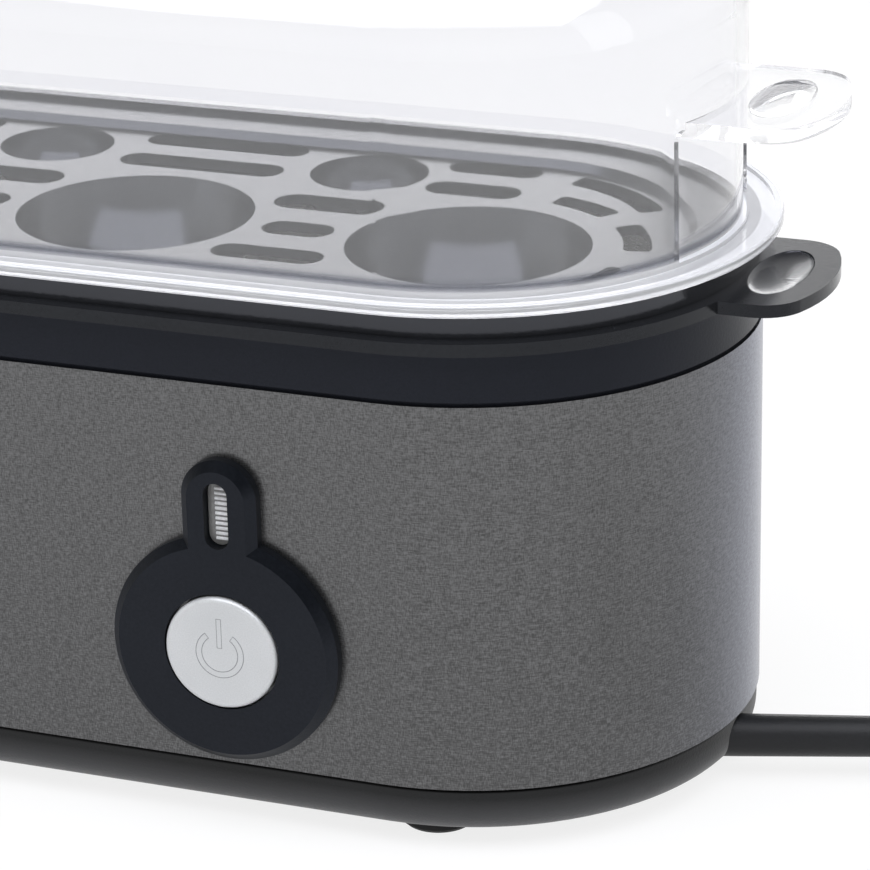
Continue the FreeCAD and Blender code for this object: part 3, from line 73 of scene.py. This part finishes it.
# adds a node with its settings; each of its inputs takes the link of a socket, or a value
def add(tree, kind, inputs=None, **settings):
    made = tree.nodes.new(kind)
    for name, setting in settings.items():
        if hasattr(made, name):
            setattr(made, name, setting)
        else:
            made.inputs[name.replace("_", " ")].default_value = setting
    for socket, source in (inputs or {}).items():
        if isinstance(source, bpy.types.NodeSocket):
            tree.links.new(source, made.inputs[socket])
        else:
            made.inputs[socket].default_value = source
    return made


# a new finish with the settings that are the same all over it
def finish_of(name, **settings):
    made = bpy.data.materials.new(name)
    made.use_nodes = True
    shader = made.node_tree.nodes["Principled BSDF"]
    for socket, setting in settings.items():
        shader.inputs[socket.replace("_", " ")].default_value = setting
    return made, made.node_tree, shader


# gives a finish its grain: fine bumps, a gloss that varies with them, and two tones that drift
# in patches about 30 mm wide
def grain(tree, shader, size, depth, gloss, tones, stretch=(1, 1, 1)):
    patch = 0.03
    where = add(tree, "ShaderNodeTexCoord")
    drawn = add(tree, "ShaderNodeMapping", {"Vector": where.outputs["Object"]}, Scale=stretch)
    fine = add(tree, "ShaderNodeTexNoise", {"Vector": drawn.outputs[0]}, Scale=1 / size, Detail=3)
    slow = add(tree, "ShaderNodeTexNoise", {"Vector": drawn.outputs[0]}, Scale=1 / patch, Detail=2)
    bump = add(tree, "ShaderNodeBump", {"Height": fine.outputs["Fac"]}, Distance=depth)
    dull = add(tree, "ShaderNodeMapRange", {"Value": fine.outputs["Fac"]}, To_Min=gloss[0], To_Max=gloss[1])
    # the product of the two noises lies mostly between these two values
    both = add(tree, "ShaderNodeMath", {0: fine.outputs["Fac"], 1: slow.outputs["Fac"]}, operation="MULTIPLY")
    spread = add(tree, "ShaderNodeMapRange", {"Value": both.outputs[0]}, From_Min=0.12, From_Max=0.4)
    tone = add(tree, "ShaderNodeMix", {"Factor": spread.outputs[0], 6: linear(tones[0]), 7: linear(tones[1])},
               data_type="RGBA")
    tree.links.new(tone.outputs[2], shader.inputs["Base Color"])
    tree.links.new(dull.outputs[0], shader.inputs["Roughness"])
    tree.links.new(bump.outputs["Normal"], shader.inputs["Normal"])


def dress(finish, *names):
    for name in names:
        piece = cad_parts[name]
        piece.data.materials.clear()
        piece.data.materials.append(finish)


# extruded PVC: a smooth black skin whose faint waviness breaks up its long highlights
lead_pvc, tree, shader = finish_of("extruded_black_pvc", IOR=1.53, Specular_IOR_Level=0.36)
grain(tree, shader, 0.0012, 0.00004, (0.2, 0.28), ("#08090b", "#101114"))

lead_radius = 0.0035
exit_x, exit_y, exit_z = 0.1448, -0.0040, 0.0078
exit_turn, sleeve = math.radians(16.5), 0.026
coil_x, coil_y, coil_outer, loop_step = 0.229, -0.030, 0.0465, 0.0075

# between the sleeve and the coil the lead sinks to the floor and swings round to the outer loop;
# its bends lie at these shares of that stretch
straight, swing, level_off, swung = 0.22, 0.5, 0.77, 0.68
along = Vector((math.cos(exit_turn), math.sin(exit_turn), 0))
start = Vector((exit_x, exit_y, exit_z)) + along * sleeve
side_y = coil_y + coil_outer
far, rise = coil_x - 2 * lead_radius - start.x, side_y - start.y
route = [
    tuple(start),
    tuple(start + along * straight * far),
    (start.x + swing * far, start.y + swung * rise, lead_radius),
    (start.x + level_off * far, side_y, lead_radius),
]

# the coil, as turns done, loops moved outwards and layer: it winds inwards on the floor, climbs on
# top of itself in half a turn, and winds outwards again
winding = ((0, 0, 0), (1.5, -1.5, 0), (2, -2.25, 1), (2.75, -0.75, 1), (3.25, -0.75, 1))
all_turns, coil_steps, rounding = winding[-1][0], 52, 1e-9
for i in range(coil_steps + 1):
    turns = all_turns * i / coil_steps
    for (t0, r0, z0), (t1, r1, z1) in zip(winding, winding[1:]):
        if turns <= t1 + rounding:
            break
    share = (turns - t0) / (t1 - t0)
    height = z0 + (z1 - z0) * share * share * (3 - 2 * share)
    radius = coil_outer + loop_step * (r0 + (r1 - r0) * share)
    angle = math.pi * (0.5 - 2 * turns)
    route.append((coil_x + radius * math.cos(angle), coil_y + radius * math.sin(angle),
                  lead_radius + height * loop_step))

# the plug rests on its shoulder, tipped up, and the lead rises to its boot
lift, plug_turn = math.radians(8), math.radians(11.5)
plug_radius, plug_length, shoulder_share, tail_run = 0.0185, 0.052, 0.8, 0.006
end = Vector(route[-1])
plug_axis = Vector((-math.sin(plug_turn) * math.cos(lift), -math.cos(plug_turn) * math.cos(lift),
                    math.sin(lift)))
boot = Vector((end.x - tail_run / 4, end.y - 2 * lead_radius - 3 * tail_run,
               plug_radius * math.cos(lift) - shoulder_share * plug_length * math.sin(lift)))
route += [tuple(end - Vector((0, 2 * lead_radius + tail_run, 0))), tuple(boot - plug_axis * tail_run),
          tuple(boot)]

curve = bpy.data.curves.new("mains_lead", "CURVE")
curve.dimensions = "3D"
spline = curve.splines.new("NURBS")
spline.points.add(len(route) - 1)
for point, spot in zip(spline.points, route):
    point.co = (*spot, 1)
spline.order_u = 3
spline.use_endpoint_u = True
curve.bevel_depth = lead_radius
curve.bevel_resolution = 8
curve.resolution_u = 6
curve.use_fill_caps = True
curve.materials.append(lead_pvc)
mains_lead = bpy.data.objects.new("mains_lead", curve)
bpy.context.scene.collection.objects.link(mains_lead)
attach(mains_lead, "housing")
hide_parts("power_cord", "cord_coil", "cord_tail")

# injection-moulded PVC of the sleeve, plug and clamped end: the same black, with a spark-eroded satin
moulded_pvc, tree, shader = finish_of("moulded_black_pvc", IOR=1.53, Specular_IOR_Level=0.3)
grain(tree, shader, 0.0005, 0.00005, (0.38, 0.5), ("#121316", "#1a1b1e"))
dress(moulded_pvc, "plug", "cord_gland", "cord_inner")

# nickel plating on brass: a smooth, slightly warm mirror worn dull where the pins slide
nickel, tree, shader = finish_of("nickel_plated_brass", Metallic=1.0)
grain(tree, shader, 0.0006, 0.00001, (0.14, 0.3), ("#b3b0a6", "#c9c6bd"), stretch=(4, 1, 4))
dress(nickel, "plug_pins")

# the satin band shows no clear image of the thin lead, its sleeve or its coil, so nothing mirrors them
for piece in (mains_lead, *(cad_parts[name] for name in ("cord_gland", "plug", "plug_pins"))):
    piece.visible_glossy = False


# Stage
# A seamless white sheet lies under and behind the cooker, and a white studio closes it off. One large
# soft box hangs above, two stand behind, and two weaker ones fill from the sides.

# 1 where the sheet or the studio is seen directly, in a mirror or through the lid, otherwise 0
def seen_plainly(tree):
    path = add(tree, "ShaderNodeLightPath")
    straight = add(tree, "ShaderNodeMath", {0: path.outputs["Is Camera Ray"], 1: path.outputs["Is Glossy Ray"]},
                   operation="MAXIMUM")
    plainly = add(tree, "ShaderNodeMath", {0: straight.outputs[0], 1: path.outputs["Is Transmission Ray"]},
                  operation="MAXIMUM")
    return plainly.outputs[0]


# white paper: matt, and mostly plain white to the eye, so that it keeps only a soft shadow
paper, tree, shader = finish_of("white_paper", Base_Color=linear("#f2f2f2"), Roughness=0.6)
white_share = add(tree, "ShaderNodeMapRange", {"Value": seen_plainly(tree)}, To_Min=0.0, To_Max=0.78)
white = add(tree, "ShaderNodeEmission", Color=(1, 1, 1, 1), Strength=1.05)
mixed = add(tree, "ShaderNodeMixShader", {0: white_share.outputs[0], 1: shader.outputs[0], 2: white.outputs[0]})
tree.links.new(mixed.outputs[0], tree.nodes["Material Output"].inputs["Surface"])
half = 3
sheet = bmesh.new()
for x, y in ((-half, -half), (half, -half), (half, half), (-half, half)):
    sheet.verts.new((x, y, 0))
sheet.faces.new(sheet.verts)
mesh = bpy.data.meshes.new("floor")
sheet.to_mesh(mesh)
mesh.materials.append(paper)
floor = bpy.data.objects.new("floor", mesh)
bpy.context.scene.collection.objects.link(floor)

# the studio is white at eye level and darker towards its ceiling, and gives a weak light from all round
world = bpy.data.worlds.new("studio")
world.use_nodes = True
bpy.context.scene.world = world
tree = world.node_tree
where = add(tree, "ShaderNodeTexCoord")
up = add(tree, "ShaderNodeSeparateXYZ", {"Vector": where.outputs["Generated"]})
ceiling = add(tree, "ShaderNodeMapRange", {"Value": up.outputs["Z"]}, From_Min=0.25, From_Max=0.8,
              To_Min=1.0, To_Max=0.35)
strength = add(tree, "ShaderNodeMapRange", {"Value": seen_plainly(tree), "To Max": ceiling.outputs[0]},
               To_Min=0.38)
sky = tree.nodes["Background"]
sky.inputs["Color"].default_value = (1, 1, 1, 1)
tree.links.new(strength.outputs[0], sky.inputs["Strength"])


def soft_box(name, place, aim, size, power, colour="#ffffff"):
    lamp = bpy.data.lights.new(name, "AREA")
    lamp.shape = "RECTANGLE"
    lamp.size, lamp.size_y = size
    lamp.energy = power
    lamp.color = linear(colour)[:3]
    made = bpy.data.objects.new(name, lamp)
    bpy.context.scene.collection.objects.link(made)
    made.location = place
    made.rotation_euler = (Vector(aim) - Vector(place)).to_track_quat("-Z", "Y").to_euler()
    made.visible_camera = False
    return made


soft_box("soft_box_above", (0.12, -0.22, 0.8), (0.05, 0, 0.09), (1.2, 0.75), 8.6, "#f6f8ff")
soft_box("soft_box_behind", (-0.54, 1.22, 0.55), (0, 0, 0.09), (0.6, 0.45), 1.15)
soft_box("soft_box_low", (-0.1, 1.3, 0.22), (0.1, 0, 0.09), (0.5, 0.34), 1.3)
soft_box("soft_box_left", (-1.0, -0.8, 0.7), (0, 0, 0.08), (0.7, 0.9), 0.8)
# the right one would put a hard patch on the lid's fillet, so glossy faces don't mirror it
soft_box("soft_box_right", (1.1, -0.2, 0.5), (0.1, 0, 0.06), (0.4, 0.9), 1.6).visible_glossy = False

# Base pan and feet
# A shallow black polypropylene pan closes the housing below the steel band, on four rubber feet
# pressed into its floor. The pan is injection moulded with a fine satin grain.
pan_black, tree, shader = finish_of("moulded_black_polypropylene", IOR=1.49, Specular_IOR_Level=0.28)
grain(tree, shader, 0.0004, 0.00006, (0.34, 0.46), ("#0c0d0e", "#141516"))
moulded_tone = shader.inputs["Base Color"].links[0].from_socket
where = add(tree, "ShaderNodeTexCoord")
up = add(tree, "ShaderNodeSeparateXYZ", {"Vector": where.outputs["Object"]})
# its lower edge is painted paler, a painted reflection of the white floor
painted_floor_reflection_mask = add(tree, "ShaderNodeMapRange", {"Value": up.outputs["Z"]}, From_Min=0.0055, From_Max=0.0105,
             To_Min=1.0, To_Max=0.0)
painted_floor_reflection = add(tree, "ShaderNodeMix", {"Factor": painted_floor_reflection_mask.outputs[0], 6: moulded_tone, 7: linear("#4b4b4c")},
           data_type="RGBA")
# its top chamfer gets a painted shadow: colour and gloss are painted black there, for the shade under the
# band's edge; all that the finish covers above it is inside the housing
painted_shadow_mask = add(tree, "ShaderNodeMapRange", {"Value": up.outputs["Z"]}, From_Min=0.0116, From_Max=0.0119)
for socket, in_the_light in (("Base Color", painted_floor_reflection.outputs[2]), ("Specular Tint", (1, 1, 1, 1))):
    painted_shadow = add(tree, "ShaderNodeMix", {"Factor": painted_shadow_mask.outputs[0], 6: in_the_light, 7: linear("#050505")},
              data_type="RGBA")
    tree.links.new(painted_shadow.outputs[2], shader.inputs[socket])
dress(pan_black, "base")

# moulded rubber: a dead black with a powdery bloom
rubber, tree, shader = finish_of("moulded_black_rubber", IOR=1.52, Specular_IOR_Level=0.3)
grain(tree, shader, 0.0007, 0.0001, (0.6, 0.75), ("#121213", "#1c1c1d"))
dress(rubber, "foot_front_right", "foot_front_left", "foot_back_right", "foot_back_left")

# Steel band
# Thin stainless sheet bent round the body to a stadium, brushed both ways with a fine abrasive,
# tinted dark grey and sealed with a clear lacquer that turns pale where it is seen edge on.
steel, tree, shader = finish_of("lacquered_brushed_stainless", Metallic=1.0, Anisotropic=0.4,
                                Coat_Weight=1.0, Coat_Roughness=0.24, Specular_Tint=linear("#dfe6ff"))
where = add(tree, "ShaderNodeTexCoord")
# abrasive lines are about 0.05 mm wide; they are drawn at 0.2 mm so that they show
level = add(tree, "ShaderNodeMapping", {"Vector": where.outputs["Object"]}, Scale=(0.16, 0.16, 1))
upright = add(tree, "ShaderNodeMapping", {"Vector": where.outputs["Object"]}, Scale=(1, 1, 0.3))
across = add(tree, "ShaderNodeTexNoise", {"Vector": level.outputs[0]}, Scale=5000, Detail=1)
down = add(tree, "ShaderNodeTexNoise", {"Vector": upright.outputs[0]}, Scale=4800, Detail=1)
woven = add(tree, "ShaderNodeMath", {0: across.outputs["Fac"], 1: down.outputs["Fac"]}, operation="ADD")
# painted shade: the band's tone is painted a little darker towards its foot, for the light that falls from
# above
up = add(tree, "ShaderNodeSeparateXYZ", {"Vector": where.outputs["Object"]})
shell_bottom, shell_upper = 0.0125, 0.085
painted_top_light = add(tree, "ShaderNodeMapRange", {"Value": up.outputs["Z"]}, From_Min=shell_bottom, From_Max=shell_upper,
          To_Min=-0.09, To_Max=0.06)
weave_and_painted_shade = add(tree, "ShaderNodeMath", {0: woven.outputs[0], 1: painted_top_light.outputs[0]}, operation="ADD")
spread = add(tree, "ShaderNodeMapRange", {"Value": weave_and_painted_shade.outputs[0]}, From_Min=0.72, From_Max=1.28)
tone = add(tree, "ShaderNodeMix", {"Factor": spread.outputs[0], 6: linear("#393939"), 7: linear("#646465")},
           data_type="RGBA")
dull = add(tree, "ShaderNodeMapRange", {"Value": weave_and_painted_shade.outputs[0]}, From_Min=0.7, From_Max=1.3,
           To_Min=0.46, To_Max=0.36)
bump = add(tree, "ShaderNodeBump", {"Height": weave_and_painted_shade.outputs[0]}, Distance=0.00002)
tree.links.new(tone.outputs[2], shader.inputs["Base Color"])
tree.links.new(dull.outputs[0], shader.inputs["Roughness"])
tree.links.new(bump.outputs["Normal"], shader.inputs["Normal"])
dress(steel, "steel_shell")

# Collar
# A ring moulded in black polyamide grips the band's top edge and carries the tray. It is smoother
# than the pan and mirrors the studio with a cool tint.
cool_black = linear("#e2eaff")
collar_black, tree, shader = finish_of("moulded_black_polyamide", IOR=1.53, Specular_IOR_Level=0.24,
                                       Specular_Tint=cool_black)
grain(tree, shader, 0.0005, 0.00003, (0.28, 0.36), ("#0b0c10", "#121318"))
dress(collar_black, "collar")

# Egg tray
# One black polypropylene moulding with large and small cups and steam slots. Its polished mould
# leaves a low gloss, so the flat plate mirrors the studio softly and each cup holds a pale patch.
tray_black, tree, shader = finish_of("polished_black_polypropylene", IOR=1.55, Specular_IOR_Level=0.55)
grain(tree, shader, 0.0008, 0.00002, (0.14, 0.2), ("#131416", "#1b1c1e"))
# painted shade: below the low flange's top, faces that don't look up get a darker specular tint, so they mirror
# less
edge_low, edge_high, upright_only = 0.0958, 0.0962, 3
where = add(tree, "ShaderNodeTexCoord")
up = add(tree, "ShaderNodeSeparateXYZ", {"Vector": where.outputs["Object"]})
above = add(tree, "ShaderNodeMapRange", {"Value": up.outputs["Z"]}, From_Min=edge_low, From_Max=edge_high)
lie = add(tree, "ShaderNodeNewGeometry")
facing = add(tree, "ShaderNodeSeparateXYZ", {"Vector": lie.outputs["Normal"]})
unshaded_share = add(tree, "ShaderNodeMath", {0: facing.outputs["Z"], 1: upright_only, 2: above.outputs[0]},
               operation="MULTIPLY_ADD", use_clamp=True)
painted_shade_tint = add(tree, "ShaderNodeMix", {"Factor": unshaded_share.outputs[0], 6: linear("#a6a9b0"), 7: linear("#f0f3ff")},
            data_type="RGBA")
tree.links.new(painted_shade_tint.outputs[2], shader.inputs["Specular Tint"])
dress(tray_black, "egg_tray")

# Lid
# A clear cover moulded in styrene and polished on both faces; only its edges and folds show. Its wall
# has a breath of haze, and the flange that rests on the tray has a satin face that gathers light.
clear, tree, shader = finish_of("polished_clear_styrene", IOR=1.5)
where = add(tree, "ShaderNodeTexCoord")
# the melt leaves faint flow patches about 30 mm wide
flow = add(tree, "ShaderNodeTexNoise", {"Vector": where.outputs["Object"]}, Scale=30, Detail=1)
tone = add(tree, "ShaderNodeMix", {"Factor": flow.outputs["Fac"], 6: linear("#fafafc"), 7: linear("#ffffff")},
           data_type="RGBA")
smear = add(tree, "ShaderNodeMapRange", {"Value": flow.outputs["Fac"]}, To_Min=0.0, To_Max=0.05)
tree.links.new(smear.outputs[0], shader.inputs["Roughness"])
# by height: satin flange with a faint painted shade, a dark line of painted shade at the fold above it, then
# the hazy clear wall
flange_top, fold_top, margin = 0.1032, 0.1045, 0.001
flange_clear, fold_clear, wall_clear = 0.5, 0.8, 0.945
flange_shade, fold_shade, wall_shade = 0.14, 0.8, 0
up = add(tree, "ShaderNodeSeparateXYZ", {"Vector": where.outputs["Object"]})
heights = add(tree, "ShaderNodeMapRange", {"Value": up.outputs["Z"]}, From_Min=flange_top - margin,
              From_Max=fold_top + margin)
clearness = add(tree, "ShaderNodeFloatCurve", {"Value": heights.outputs[0]})
shade = add(tree, "ShaderNodeFloatCurve", {"Value": heights.outputs[0]})
for node, flange, fold, wall in ((clearness, flange_clear, fold_clear, wall_clear),
                                 (shade, flange_shade, fold_shade, wall_shade)):
    line = node.mapping.curves[0]
    line.points[0].location, line.points[1].location = (0, flange), (1, wall)
    for spot in ((0.25, flange), (0.4, fold), (0.6, fold), (0.75, wall)):
        line.points.new(*spot)
    for point in line.points:
        point.handle_type = "VECTOR"
    node.mapping.update()
tree.links.new(clearness.outputs[0], shader.inputs["Transmission Weight"])
shaded = add(tree, "ShaderNodeMix", {"Factor": shade.outputs[0], 6: tone.outputs[2], 7: linear("#7a7e8b")},
             data_type="RGBA")
tree.links.new(shaded.outputs[2], shader.inputs["Base Color"])
# light for the tray, light that the tray mirrors and light caught inside the wall pass straight on
most_bounces, most_walls = 3.5, 1.5
path = add(tree, "ShaderNodeLightPath")
through = add(tree, "ShaderNodeBsdfTransparent", Color=linear("#fafafb"))
trapped = add(tree, "ShaderNodeMath", {0: path.outputs["Ray Depth"], 1: most_bounces}, operation="GREATER_THAN")
beyond = add(tree, "ShaderNodeMath", {0: path.outputs["Transmission Depth"], 1: most_walls},
             operation="GREATER_THAN")
mirrored = add(tree, "ShaderNodeMath", {0: beyond.outputs[0], 1: path.outputs["Is Glossy Ray"]},
               operation="MULTIPLY")
unseen = add(tree, "ShaderNodeMath", {0: path.outputs["Is Shadow Ray"], 1: path.outputs["Is Diffuse Ray"]},
             operation="MAXIMUM")
deep = add(tree, "ShaderNodeMath", {0: trapped.outputs[0], 1: mirrored.outputs[0]}, operation="MAXIMUM")
either = add(tree, "ShaderNodeMath", {0: unseen.outputs[0], 1: deep.outputs[0]}, operation="MAXIMUM")
pass_on = add(tree, "ShaderNodeMixShader", {0: either.outputs[0], 1: shader.outputs[0], 2: through.outputs[0]})
tree.links.new(pass_on.outputs[0], tree.nodes["Material Output"].inputs["Surface"])
dress(clear, "lid")

# Control plate
# A keyhole-shaped black plate clipped to the band's front, moulded in ABS with a soft gloss and a
# bevel all round.
plate_black, tree, shader = finish_of("moulded_black_abs", IOR=1.53, Specular_IOR_Level=0.19)
grain(tree, shader, 0.0006, 0.00003, (0.3, 0.38), ("#0e1013", "#16181c"))
# painted shade: faces that look up, such as the top of the bevel, get a darker specular tint and mirror little
lie = add(tree, "ShaderNodeNewGeometry")
facing = add(tree, "ShaderNodeSeparateXYZ", {"Vector": lie.outputs["Normal"]})
upward_painted_shade_mask = add(tree, "ShaderNodeMapRange", {"Value": facing.outputs["Z"]}, From_Min=0.1, From_Max=0.4)
painted_shade_tint = add(tree, "ShaderNodeMix", {"Factor": upward_painted_shade_mask.outputs[0], 6: cool_black, 7: linear("#3c4048")},
            data_type="RGBA")
tree.links.new(painted_shade_tint.outputs[2], shader.inputs["Specular Tint"])
dress(plate_black, "control_plate")

# Power button
# A round ABS cap in silver lacquer, whose fine aluminium flakes give it an even pale sheen. The power
# sign is cut into its face as a thin outline.
silver, tree, shader = finish_of("silver_lacquered_abs", IOR=1.5, Metallic=0.35, Coat_Weight=0.3,
                                 Coat_Roughness=0.2)
grain(tree, shader, 0.00025, 0.00001, (0.3, 0.42), ("#c2c4c5", "#d2d3d4"))
dress(silver, "button_cap")

# the cut outline gathers a matt grey
cut_grey, tree, shader = finish_of("cut_lacquer_edge", IOR=1.5)
grain(tree, shader, 0.0002, 0.00001, (0.5, 0.6), ("#7e8082", "#989a9c"))
button_x, button_z, face_y = 0.0659, 0.0353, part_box("button_cap")[0].y
ring_outer, stroke, gap_half, ring_steps = 0.0045, 0.0011, math.radians(36), 48
bar_half, bar_top, bar_length = 0.4 * stroke, 0.0066, 0.0055
cut_radius, cut_sunk = 0.00009, 0.00004
ring = []
for i in range(ring_steps + 1):
    angle = math.pi / 2 + gap_half + (2 * math.pi - 2 * gap_half) * i / ring_steps
    ring.append((math.cos(angle), math.sin(angle)))
ring_line = [(x * ring_outer, z * ring_outer) for x, z in ring]
ring_line += [(x * (ring_outer - stroke), z * (ring_outer - stroke)) for x, z in reversed(ring)]
bar_line = [(bar_half, bar_top), (-bar_half, bar_top), (-bar_half, bar_top - bar_length),
            (bar_half, bar_top - bar_length)]
curve = bpy.data.curves.new("power_sign", "CURVE")
curve.dimensions = "3D"
for outline in (ring_line, bar_line):
    spline = curve.splines.new("POLY")
    spline.points.add(len(outline) - 1)
    for point, (x, z) in zip(spline.points, outline):
        point.co = (button_x + x, face_y + cut_sunk, button_z + z, 1)
    spline.use_cyclic_u = True
curve.bevel_depth = cut_radius
curve.bevel_resolution = 2
curve.materials.append(cut_grey)
power_sign = bpy.data.objects.new("power_sign", curve)
bpy.context.scene.collection.objects.link(power_sign)
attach(power_sign, "button")

# Lamp window
# A polycarbonate lens in the plate's neck, with a flange behind the plate. Fine ribs cross the right
# part of its face, painted near white as a painted highlight; the smooth left part shows the grey of the neon
# lamp behind.
smoked, tree, shader = finish_of("clear_polycarbonate", IOR=1.58, Transmission_Weight=0.25)
grain(tree, shader, 0.0008, 0.00002, (0.06, 0.16), ("#7b7b79", "#8f8f8d"))
# the ribs are painted near white: a painted highlight for the light they catch
rib_painted_highlight, tree, shader = finish_of("polycarbonate_rib_painted_highlight", IOR=1.58, Transmission_Weight=0.15)
grain(tree, shader, 0.0006, 0.00002, (0.08, 0.2), ("#d9dadb", "#fbfbfc"))

# body of the lens: slot-shaped loops from the flange's back to the face, each as radius and depth
window_x, window_z, window_half = 0.0659, 0.0608, 0.00385
flange_radius, flange_back, flange_front = 0.00365, -0.0507, -0.0513
lens_radius, face_radius, face, face_bevel = 0.0022, 0.002, -0.0529, 0.0002
end_steps = 24
layers = ((flange_radius, flange_back), (flange_radius, flange_front), (lens_radius, flange_front),
          (lens_radius, face + face_bevel), (face_radius, face))
shape = bmesh.new()
loops = []
for radius, y in layers:
    arc = [(radius * math.cos(math.pi * i / end_steps),
            window_half + radius * math.sin(math.pi * i / end_steps)) for i in range(end_steps + 1)]
    arc += [(-x, -z) for x, z in arc]
    loops.append([shape.verts.new((window_x + x, y, window_z + z)) for x, z in arc])
for low, high in zip(loops, loops[1:]):
    for i in range(len(low)):
        k = (i + 1) % len(low)
        shape.faces.new((low[i], low[k], high[k], high[i]))
shape.faces.new(reversed(loops[0]))
shape.faces.new(loops[-1])

# ribs: half-round bars across the face, shorter where its ends are round
rib_radius, rib_pitch, rib_steps, ribs_each_side = 0.0003, 0.00093, 10, 5
rib_left, rib_reach, rib_sunk = -0.0007, 0.00185, 0.00002
profile = [(math.cos(math.pi * k / rib_steps) * rib_radius, -math.sin(math.pi * k / rib_steps) * rib_radius)
           for k in range(rib_steps + 1)]
for i in range(-ribs_each_side, ribs_each_side + 1):
    z = i * rib_pitch
    past = max(abs(z) + rib_radius - window_half, 0)
    rib_right = math.sqrt(rib_reach ** 2 - past ** 2) if past < rib_reach else 0
    ends = []
    for x in (rib_left, rib_right):
        ends.append([shape.verts.new((window_x + x, face + rib_sunk + out, window_z + z + up))
                     for up, out in profile])
    for k in range(len(profile)):
        m = (k + 1) % len(profile)
        shape.faces.new((ends[0][k], ends[0][m], ends[1][m], ends[1][k])).material_index = 1
    shape.faces.new(reversed(ends[0])).material_index = 1
    shape.faces.new(ends[1]).material_index = 1
bmesh.ops.recalc_face_normals(shape, faces=shape.faces)
mesh = bpy.data.meshes.new("ribbed_lens")
shape.to_mesh(mesh)
mesh.materials.append(smoked)
mesh.materials.append(rib_painted_highlight)
ribbed_lens = bpy.data.objects.new("ribbed_lens", mesh)
bpy.context.scene.collection.objects.link(ribbed_lens)
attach(ribbed_lens, "housing")
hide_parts("lamp_lens")

# blown glass of the neon lamp: clear and smooth, with the metal inside greying it
glass, tree, shader = finish_of("blown_lamp_glass", IOR=1.5, Transmission_Weight=0.5)
grain(tree, shader, 0.002, 0.00002, (0.03, 0.12), ("#e2e3e4", "#f4f4f4"))
dress(glass, "indicator_lamp")

# Water bowl and seal
# The bowl under the tray is deep-drawn from stainless sheet, with faint upright drawing marks and a
# soft mirror; a matt red-brown silicone ring seals it to the band.
drawn_steel, tree, shader = finish_of("deep_drawn_stainless", Metallic=1.0)
grain(tree, shader, 0.0015, 0.00003, (0.22, 0.34), ("#a9a8a4", "#c4c3bf"), stretch=(1, 1, 6))
dress(drawn_steel, "water_bowl")
silicone, tree, shader = finish_of("moulded_silicone", IOR=1.41, Subsurface_Weight=0.2, Subsurface_Scale=0.002)
grain(tree, shader, 0.0009, 0.00003, (0.45, 0.6), ("#9c4238", "#b4564a"))
dress(silicone, "bowl_seal")

# Heater
# A sheathed element is clamped under the bowl with its thermostat and a fuse in a glass-fibre sleeve.
# An aluminised shield below keeps its heat off the pan, and two straps tie bowl and pan together.

# steel sheath oxidised by its own heat: a brown-grey, half metallic skin
sheath, tree, shader = finish_of("oxidised_element_sheath", Metallic=0.8)
grain(tree, shader, 0.0008, 0.00005, (0.45, 0.6), ("#5a534c", "#8a8178"))
dress(sheath, "heating_element")

# pressed phenolic: dark brown and dull
phenolic, tree, shader = finish_of("moulded_phenolic", IOR=1.6)
grain(tree, shader, 0.0006, 0.00005, (0.4, 0.55), ("#241c18", "#352a24"))
dress(phenolic, "thermostat", "switch_body")

# braided glass fibre: off-white and matt, with threads along the sleeve
sleeving, tree, shader = finish_of("glass_fibre_sleeving", IOR=1.5, Sheen_Weight=0.3, Sheen_Roughness=0.5)
grain(tree, shader, 0.0006, 0.00015, (0.7, 0.85), ("#d4cfc0", "#ebe7db"), stretch=(1, 3, 3))
dress(sleeving, "thermal_fuse")

# hot-dipped aluminium and zinc on sheet steel: pale grey metals in soft blotches
aluminised, tree, shader = finish_of("aluminised_steel_sheet", Metallic=1.0)
grain(tree, shader, 0.003, 0.00003, (0.3, 0.5), ("#9ea2a4", "#c3c7c9"))
dress(aluminised, "heat_shield")
zinc, tree, shader = finish_of("zinc_plated_steel", Metallic=1.0)
grain(tree, shader, 0.002, 0.00003, (0.25, 0.45), ("#a7abad", "#cfd2d0"))
dress(zinc, "tie_strap_left", "tie_strap_right")

# Switch, terminals and inner leads
# The latching switch sits in a moulded bracket behind the plate. Brown, blue and white silicone leads
# join the switch, heater and lamp at a polyamide terminal block, and a clamp holds the mains lead.

# undyed moulded polyamide: a creamy white that lets a little light in
natural, tree, shader = finish_of("natural_polyamide", IOR=1.53, Subsurface_Weight=0.1, Subsurface_Scale=0.001)
grain(tree, shader, 0.0007, 0.00004, (0.35, 0.5), ("#cfc8b4", "#e3dcc9"))
dress(natural, "terminal_block")
dress(pan_black, "switch_bracket", "cord_clamp")

# extruded silicone insulation: soft, half matt and dyed through
for name, tones, leads in (
        ("brown_silicone_insulation", ("#4a2a1c", "#623a28"),
         ("lead_live", "lead_load", "lead_fuse", "lead_lamp_one")),
        ("blue_silicone_insulation", ("#1f4a86", "#2d5c9c"), ("lead_neutral", "lead_lamp_two")),
        ("white_silicone_insulation", ("#cfcecb", "#e6e5e2"), ("lead_element",))):
    insulation, tree, shader = finish_of(name, IOR=1.41)
    grain(tree, shader, 0.0006, 0.00003, (0.4, 0.55), tones)
    dress(insulation, *leads)
